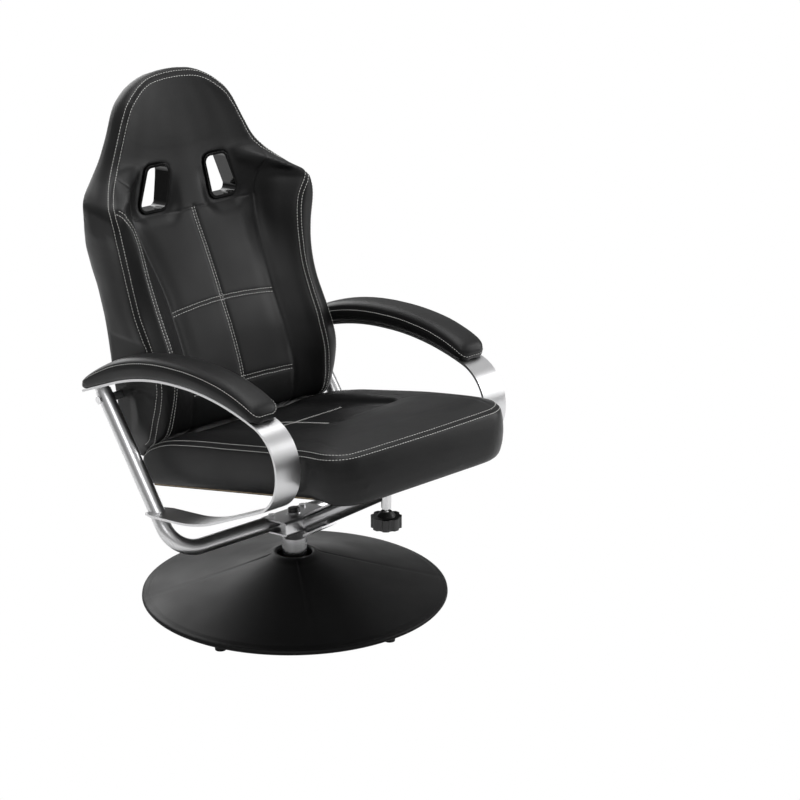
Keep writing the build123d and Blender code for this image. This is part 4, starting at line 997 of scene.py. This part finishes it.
seat_edge_height = hermite(
    (-432, -400, -330, -187, -100, -15, 67, 118, 140, 165, 178, 190, 201),
    (85, 89, 95, 98, 98.5, 100, 100, 96, 91, 84, 77, 70, 63),
)
seat_crest_height = hermite(
    (-432, -400, -366, -300, -187, -15, 94, 150, 165, 178, 190, 201),
    (87, 96, 103, 109, 113, 111, 101, 92, 85.5, 78, 71, 64),
)
seat_low_edge = hermite(
    (-432, -405, -380, -352, -335, 200),
    (-10, -17, -15, -3, 1, 1),
)


def seat_top(x, y):
    """The height of the seat's upper side."""
    crest = float(seat_crest_height(y))
    edge = float(seat_edge_height(y))
    side = SEAT_HALF_WIDTH - abs(x)
    front = y - SEAT_FRONT - FRONT_BOW * (x / SEAT_HALF_WIDTH) ** 2
    k = min(1.0, max(0.0, side / SIDE_FALL))
    z = edge + (crest - edge) * math.sin(k * math.pi / 2)
    k = min(1.0, max(0.0, front / FRONT_FALL))
    if z > FRONT_LIP_HEIGHT:
        z = min(z, FRONT_LIP_HEIGHT + (z - FRONT_LIP_HEIGHT) * math.sin(k * math.pi / 2))
    # The sunk middle panel, its wall spread over a stretch and its depth fading to the rear
    ax = RECESS_HALF_WIDTH - abs(x)
    ay = y - RECESS_FRONT
    if ax < RECESS_CORNER and ay < RECESS_CORNER:
        d = RECESS_CORNER - math.hypot(RECESS_CORNER - ax, RECESS_CORNER - ay)
    else:
        d = min(ax, ay)
    t = min(1.0, max(0.0, (d + 14.0) / 30.0))
    t = t * t * (3 - 2 * t)
    depth = RECESS_DEPTH * min(1.0, max(0.12, (165.0 - y) / 120.0))
    return z - depth * t


# The skin's rings: the insets below, the insets and shares of the height up the side, and the
# insets above
UNDER_RINGS = (225.0, 180.0, 140.0, 110.0, 92.0, 76.0, 58.0, 40.0, 27.0)
SIDE_RINGS = (
    (17.0, 0.0), (9.0, 0.03), (4.0, 0.11), (0.8, 0.28),
    (-0.8, 0.5), (-0.6, 0.72), (1.0, 0.9), (4.0, 1.0),
)
TOP_RINGS = (
    9.0, 16.0, 26.0, 38.0, 52.0, 66.0, 80.0, 90.0,
    98.0, 108.0, 120.0, 135.0, 155.0, 180.0, 205.0, 225.0,
)
rings = []
for inset in UNDER_RINGS:
    rings.append(place(seat_out([(x, y, float(seat_low_edge(y))) for x, y in seat_plan(inset)])))
for inset, share in SIDE_RINGS:
    ring = []
    for x, y in seat_plan(inset, rounder=34.0 * (1.0 - share) ** 2):
        low = float(seat_low_edge(y)) + (4.0 if inset < 17 and y > -330 else 0.0)
        top = float(seat_edge_height(y)) - 1.0
        ring.append((x, y, low + (top - low) * share))
    rings.append(place(seat_out(ring)))
for inset in TOP_RINGS:
    rings.append(place(seat_out([(x, y, seat_top(x, y)) for x, y in seat_plan(inset)])))
seat = ring_mesh("seat_soft", rings)
remesh(seat, 0.005, 4)

co = coords(seat)
local = seat_in(unplace(co))
edge_plan = seat_plan(4.0, 400)
edge_ring = np.array([(x, y, float(seat_edge_height(y))) for x, y in edge_plan])
edge_ring = np.vstack([edge_ring, edge_ring[:1]])
edge_line = seat_out(edge_ring)


def on_seat(points):
    """Plan points carried to the seat's top."""
    return seat_out([(x, y, seat_top(x, y)) for x, y in points])


long_line = on_seat([(0.0, y) for y in np.linspace(-188, 140, 50)])
wide_line = on_seat([(x, -24.0) for x in np.linspace(-130, 130, 50)])
# The recess's own edge: up one side, round its corner, across the front and back again
rim = [(-140, 150), (-140, 60), (-140, -60), (-140, -160)]
for a in np.linspace(math.pi, 1.5 * math.pi, 9)[1:]:
    rim.append((-106 + RECESS_CORNER * math.cos(a), -166 + RECESS_CORNER * math.sin(a)))
front_rim = [(x, RECESS_FRONT) for x in (-60, 0, 60)]
rim = np.array(rim + front_rim + [(-x, y) for x, y in reversed(rim)])
recess_line = on_seat(even(rim, 6.0))
mitre = [(-128, -192), (-160, -232), (-185, -290), (-196, -350), (-200, -405)]
mitre_right = on_seat(even(mitre, 5.0))
mitre_left = mirror_x(mitre_right)
seat_seams = [edge_line, long_line, wide_line]
hold = hold_weights(co, seat_seams, 3.0, 9.0)
hold = np.maximum(hold, hold_weights(co, [recess_line], 4.0, 12.0) * 0.9)
# Held fast: the underside and the rear, under the back
hold[local[:, 2] < 7.0] = 1.0
hold[local[:, 1] > 150] = 1.0
inflate(seat, hold, pressure=4.0, cap=16.0, frames=20, stiff=14.0, bend=0.8, smooth=24)
co = coords(seat)
mm = unplace(co)
mm[:, 0] = np.clip(mm[:, 0], -SEAT_WIDEST, SEAT_WIDEST)
set_coords(seat, place(mm))
groove(seat, seat_seams, 2.4, 5.0)
groove(seat, [recess_line], 2.0, 6.0)
groove(seat, [mitre_right, mitre_left], 1.2, 2.5)
refine(seat)
seat.name = "seat_upholstery"
dress(seat, leather)
seat_skin = Skin(seat)

# Arm pads: sections along the bar's bent centre line

PATH_STEP = 2.0


def filleted(points, radii):
    """A polyline with its inner corners rounded, as (y, z) points every few millimetres."""
    p = [np.array(q, float) for q in points]
    out = [p[0]]
    for i in range(1, len(p) - 1):
        out += round_corner(p[i - 1], p[i], p[i + 1], radii[i - 1], 24)
    out.append(p[-1])
    return even(np.array(out), PATH_STEP)


bar_path = filleted(
    ((112, 240), (-60, 262), (-306, 374), (-306, 502), (-130, 553), (101, 538), (300, 457)),
    (420, 90, 90, 640, 640),
)
# The path goes on straight behind the bar's end, so that the pad's end has room
bar_path = np.vstack([bar_path, bar_path[-1] + (bar_path[-1] - bar_path[-3]) * 3])
bar_path = even(bar_path, PATH_STEP)
# Where the pad starts and ends, as shares of the bar's length
PAD_FRONT, PAD_REAR = 0.52, 1.001
BAR_LENGTH = 1164.0
BAR_X = 277.0
PAD_HALF_WIDTH = 37.0
PAD_FOOT_HALF_WIDTH = 29.5
# The pad's underside above the bar's centre line, and its full height
PAD_LOW = 2.7
PAD_HEIGHT = 44.0
# The seam's height, and the pad's height at its front and rear end, as shares
SEAM_SHARE = 0.66
FRONT_SHARE = 0.44
REAR_SHARE = 0.3
# Along the pad: the place, and the width and height there, as shares
pad_table = np.array([
    (0.0, 0.60, 0.42), (0.006, 0.78, 0.56), (0.015, 0.90, 0.68), (0.03, 0.97, 0.78),
    (0.06, 1.0, 0.87), (0.12, 1.0, 0.95), (0.2, 1.0, 1.0), (0.6, 1.0, 1.0),
    (0.69, 1.0, 0.985), (0.78, 1.0, 0.94), (0.88, 0.99, 0.80), (0.95, 0.98, 0.62),
    (0.98, 0.93, 0.50), (0.994, 0.80, 0.38), (1.0, 0.62, 0.28),
])
pad_wide = hermite(pad_table[:, 0], pad_table[:, 1])
pad_high = hermite(pad_table[:, 0], pad_table[:, 2])


def bar_frame(share):
    """A place on the bar's centre line along the pad, and the way up from it."""
    at = (PAD_FRONT + (PAD_REAR - PAD_FRONT) * share) * BAR_LENGTH / PATH_STEP
    i = int(np.clip(at, 1, len(bar_path) - 2))
    k = at - i
    here = bar_path[i] * (1 - k) + bar_path[min(i + 1, len(bar_path) - 1)] * k
    along = bar_path[min(i + 3, len(bar_path) - 1)] - bar_path[max(i - 3, 0)]
    along /= np.linalg.norm(along)
    up = np.array([-along[1], along[0]])
    if up[1] < 0:
        up = -up
    return here, up


def pad_point(share, u, v):
    """A point of the pad: out from the bar's middle and up from its centre line."""
    here, up = bar_frame(share)
    return (u, here[0] + up[0] * v, here[1] + up[1] * v)


def pad_ring(share):
    """The pad's outline across the bar."""
    width = PAD_HALF_WIDTH * float(pad_wide(share))
    foot = PAD_FOOT_HALF_WIDTH * float(pad_wide(share))
    top = PAD_LOW + PAD_HEIGHT * float(pad_high(share))
    low = PAD_LOW
    rise = top - low
    half = [
        (0, low),
        (foot, low),
        (foot + (width - foot) * 0.75, low + rise * 0.14),
        (width, low + rise * 0.38),
        (width * 0.985, low + rise * 0.58),
        (width * 0.88, low + rise * 0.8),
        (width * 0.6, low + rise * 0.95),
        (0, top),
    ]
    right = through(half, 6)
    left = [(-u, v) for u, v in right[::-1][1:-1]]
    return [pad_point(share, u, v) for u, v in list(map(tuple, right)) + left]


def pad_seam():
    """The seam round the pad: along both sides, over the nose and round the tail."""
    sides = []
    for edge in (-1, 1):
        sides.append([
            pad_point(
                share,
                edge * 36.2 * float(pad_wide(share)),
                PAD_LOW + PAD_HEIGHT * float(pad_high(share)) * SEAM_SHARE,
            )
            for share in np.linspace(0.02, 0.985, 80)
        ])
    nose_height = PAD_LOW + PAD_HEIGHT * FRONT_SHARE * SEAM_SHARE
    tail_height = PAD_LOW + PAD_HEIGHT * REAR_SHARE * SEAM_SHARE
    across = np.linspace(-1, 1, 15)
    nose = [pad_point(0.004, k * 26.0, nose_height + 1.5 * (1 - k * k)) for k in across]
    tail = [pad_point(0.994, k * 24.0, tail_height) for k in across]
    right, left = np.array(sides[0]), np.array(sides[1])
    return np.vstack([right[::-1], nose[1:-1], left, tail[::-1][1:-1], right[-1:]])


def pad_piece(side):
    """One arm's pad with its stitching; side is -1 for the sitter's right."""
    arm = np.array([side * BAR_X, 0.0, 0.0])
    shares = np.concatenate([
        np.linspace(0, 0.1, 10, endpoint=False),
        np.linspace(0.1, 0.9, 44, endpoint=False),
        np.linspace(0.9, 1.0, 10),
    ])
    name = "arm_pad_right_soft" if side < 0 else "arm_pad_left_soft"
    obj = ring_mesh(name, [place(np.array(pad_ring(share)) + arm) for share in shares])
    remesh(obj, 0.004, 3)
    loop = even(through(even(pad_seam() + arm, 10.0), 3), 2.5)
    co = coords(obj)
    mm = unplace(co)
    hold = hold_weights(co, [loop], 2.0, 6.0)
    upper_bar = bar_path[len(bar_path) // 2:]
    bar_height = np.interp(mm[:, 1], upper_bar[:, 0], upper_bar[:, 1])
    hold[mm[:, 2] < bar_height + 8.0] = 1.0
    inflate(obj, hold, pressure=4.0, cap=5.0, frames=14, stiff=18.0, bend=1.0, smooth=12)
    groove(obj, [loop], 1.2, 3.2)
    refine(obj)
    dress(obj, leather)
    skin = Skin(obj)
    above = offset_line(skin, loop, -3.4 * side)
    line = stitches(obj.name.replace("_soft", "_stitching"), skin, [above])
    dress(line, thread)
    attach(obj, "frame")
    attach(line, "frame")
    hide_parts("arm_pad_right" if side < 0 else "arm_pad_left")


for side in (-1, 1):
    pad_piece(side)

# Stitching on the back and the seat


def sewn(name, skin, gaps):
    """Two rows of stitches beside each seam, at its own gap."""
    lines = []
    for line, gap in gaps:
        lines += [offset_line(skin, line, gap), offset_line(skin, line, -gap)]
    piece = stitches(name, skin, lines)
    dress(piece, thread)
    return piece


back_thread = sewn(
    "back_stitching",
    back_skin,
    [(border_line, 6.0)]
    + [(line, 4.4) for line in both(bolster_half)]
    + [(centre_line, 3.2), (upper_cross, 4.2), (lower_cross, 4.2)],
)
seat_thread = sewn(
    "seat_stitching", seat_skin, [(edge_line, 5.5), (long_line, 2.2), (wide_line, 2.2)]
)

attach(back, "back")
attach(back_thread, "back")
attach(seat, "seat")
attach(seat_thread, "seat")
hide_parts("back_cushion", "back_rear_cover")
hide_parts("seat_cushion")

# Base cover: a turned skin with sewn panels and a rolled rim

# Its outline, as radii and heights: the collar, the cone that sinks a little, and the rim
COLLAR = [(38.0, 98.0), (36.6, 103.0), (37.5, 107.0), (41.0, 108.6), (46.0, 107.0), (58.0, 101.0)]
RIM = [
    (311.0, 26.4), (315.5, 25.2), (318.8, 23.4), (319.8, 21.0), (318.6, 17.6),
    (314.0, 14.2), (307.0, 12.4), (298.0, 12.0), (290.0, 12.0),
]
CONE_TOP_RADIUS, CONE_TOP = COLLAR[-1]
CONE_LOW_RADIUS, CONE_LOW = 306.0, 28.5
CONE_STEPS = 24
# The seams of the four panels, and the one that runs round inside the rim
PANEL_SEAM_ANGLES = [math.radians(-122.5 + 90 * k) for k in range(4)]
PANEL_SEAM_DEPTH, PANEL_SEAM_WIDTH = 1.5, 2.6
ROUND_SEAM_RADIUS = 309.0
ROUND_SEAM_DEPTH, ROUND_SEAM_WIDTH = 1.1, 2.2
COVER_TURNS = 240

profile = list(COLLAR)
for k in range(1, CONE_STEPS + 1):
    t = k / CONE_STEPS
    r = CONE_TOP_RADIUS + (CONE_LOW_RADIUS - CONE_TOP_RADIUS) * t
    z = CONE_TOP + (CONE_LOW - CONE_TOP) * t - 3.0 * 4 * t * (1 - t) * 0.6
    profile.append((r, z))
profile = even(through(profile + RIM, 4), 4.0)
turns = COVER_TURNS
verts = []
for r, z in profile:
    for k in range(turns):
        a = 2 * math.pi * k / turns
        dip = band = 0.0
        if 48 < r < 314 and z > 20:
            for seam in PANEL_SEAM_ANGLES:
                gap = abs((a - seam + math.pi) % (2 * math.pi) - math.pi) * r
                dip = max(dip, PANEL_SEAM_DEPTH * math.exp(-((gap / PANEL_SEAM_WIDTH) ** 2)))
        if z > 20:
            off = (r - ROUND_SEAM_RADIUS) / ROUND_SEAM_WIDTH
            band = ROUND_SEAM_DEPTH * math.exp(-(off ** 2))
        verts.append((r * math.cos(a), r * math.sin(a), z - dip - band))
faces = []
for i in range(len(profile) - 1):
    for k in range(turns):
        q = (k + 1) % turns
        faces.append((i * turns + k, (i + 1) * turns + k, (i + 1) * turns + q, i * turns + q))
cover = new_object("base_cover_leather", place(verts), faces)
fix_normals(cover)
dress(cover, leather_base)
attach(cover, "base")
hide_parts("base_cover", "base_collar")

# Setting: a pale floor, a white surround and soft lamps

scene = bpy.context.scene
scene.view_settings.view_transform = "Standard"
world = bpy.data.worlds.new("surround")
scene.world = world
world.use_nodes = True
# The camera sees plain white; the chair is lit by a sky that is brighter towards the top
wn = world.node_tree.nodes
wl = world.node_tree.links
wn.clear()
white = (1, 1, 1, 1)
out = wn.new("ShaderNodeOutputWorld")
mix = wn.new("ShaderNodeMixShader")
seen = add_node(wn, "ShaderNodeBackground", {"Color": white, "Strength": 1.0})
lit = add_node(wn, "ShaderNodeBackground", {"Strength": 0.55})
path = wn.new("ShaderNodeLightPath")
sky = wn.new("ShaderNodeTexCoord")
split = wn.new("ShaderNodeSeparateXYZ")
ramp = wn.new("ShaderNodeValToRGB")
dark, bright = ramp.color_ramp.elements
dark.position, dark.color = 0.45, (0.2, 0.2, 0.2, 1)
bright.position, bright.color = 0.76, white
lift = add_node(wn, "ShaderNodeMapRange", {"From Min": -1.0, "From Max": 1.0})
wl.new(sky.outputs["Generated"], split.inputs[0])
wl.new(split.outputs["Z"], lift.inputs["Value"])
wl.new(lift.outputs["Result"], ramp.inputs["Fac"])
wl.new(ramp.outputs["Color"], lit.inputs["Color"])
wl.new(path.outputs["Is Camera Ray"], mix.inputs[0])
wl.new(lit.outputs[0], mix.inputs[1])
wl.new(seen.outputs[0], mix.inputs[2])
wl.new(mix.outputs[0], out.inputs[0])

floor = new_object("floor", [(-4, -4, 0), (4, -4, 0), (4, 4, 0), (-4, 4, 0)], [(0, 1, 2, 3)], False)
mat, fn, fl, diffuse = material("floor_white", (0.85, 0.85, 0.85), 0.9)
glow = add_node(fn, "ShaderNodeEmission", {"Color": white, "Strength": 1.0})
ray = fn.new("ShaderNodeLightPath")
shown = fn.new("ShaderNodeMixShader")
fl.new(ray.outputs["Is Camera Ray"], shown.inputs[0])
fl.new(diffuse.outputs[0], shown.inputs[1])
fl.new(glow.outputs[0], shown.inputs[2])
fl.new(shown.outputs[0], fn["Material Output"].inputs["Surface"])
dress(floor, mat)
floor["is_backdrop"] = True


def lamp(name, where, target, size, watts, height=None):
    """A soft square lamp, or an upright one where a height is given, turned to its target."""
    data = bpy.data.lights.new(name, "AREA")
    data.energy = watts
    data.shape = "RECTANGLE"
    data.size = size
    data.size_y = height or size
    obj = bpy.data.objects.new(name, data)
    scene.collection.objects.link(obj)
    obj.location = where
    obj.rotation_euler = (Vector(target) - Vector(where)).to_track_quat("-Z", "Y").to_euler()


lamp("key", (-2.2, -2.2, 3.0), (0, 0, 0.6), 1.8, 30)
lamp("top", (0.3, 0.2, 3.4), (0, 0, 0.5), 2.4, 60)
lamp("side", (2.8, -1.8, 1.6), (0, 0, 0.5), 1.4, 45, 2.2)
lamp("rear", (0.6, 3.0, 1.8), (0, 0, 0.6), 2.0, 45)

# Camera: the photo's own view

azimuth, elevation, distance = math.radians(-43.17), math.radians(19.35), 5.523
aim = Vector((0.301, 0.007, 0.368))
away = Vector((
    math.sin(azimuth) * math.cos(elevation),
    -math.cos(azimuth) * math.cos(elevation),
    math.sin(elevation),
))
camera_data = bpy.data.cameras.new("camera")
camera_data.sensor_width = 36.0
camera_data.lens = 117.0
camera_data.clip_end = 50.0
camera = bpy.data.objects.new("camera", camera_data)
scene.collection.objects.link(camera)
camera.location = aim + away * distance
camera.rotation_euler = (-away).to_track_quat("-Z", "Y").to_euler()
scene.camera = camera

low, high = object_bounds()
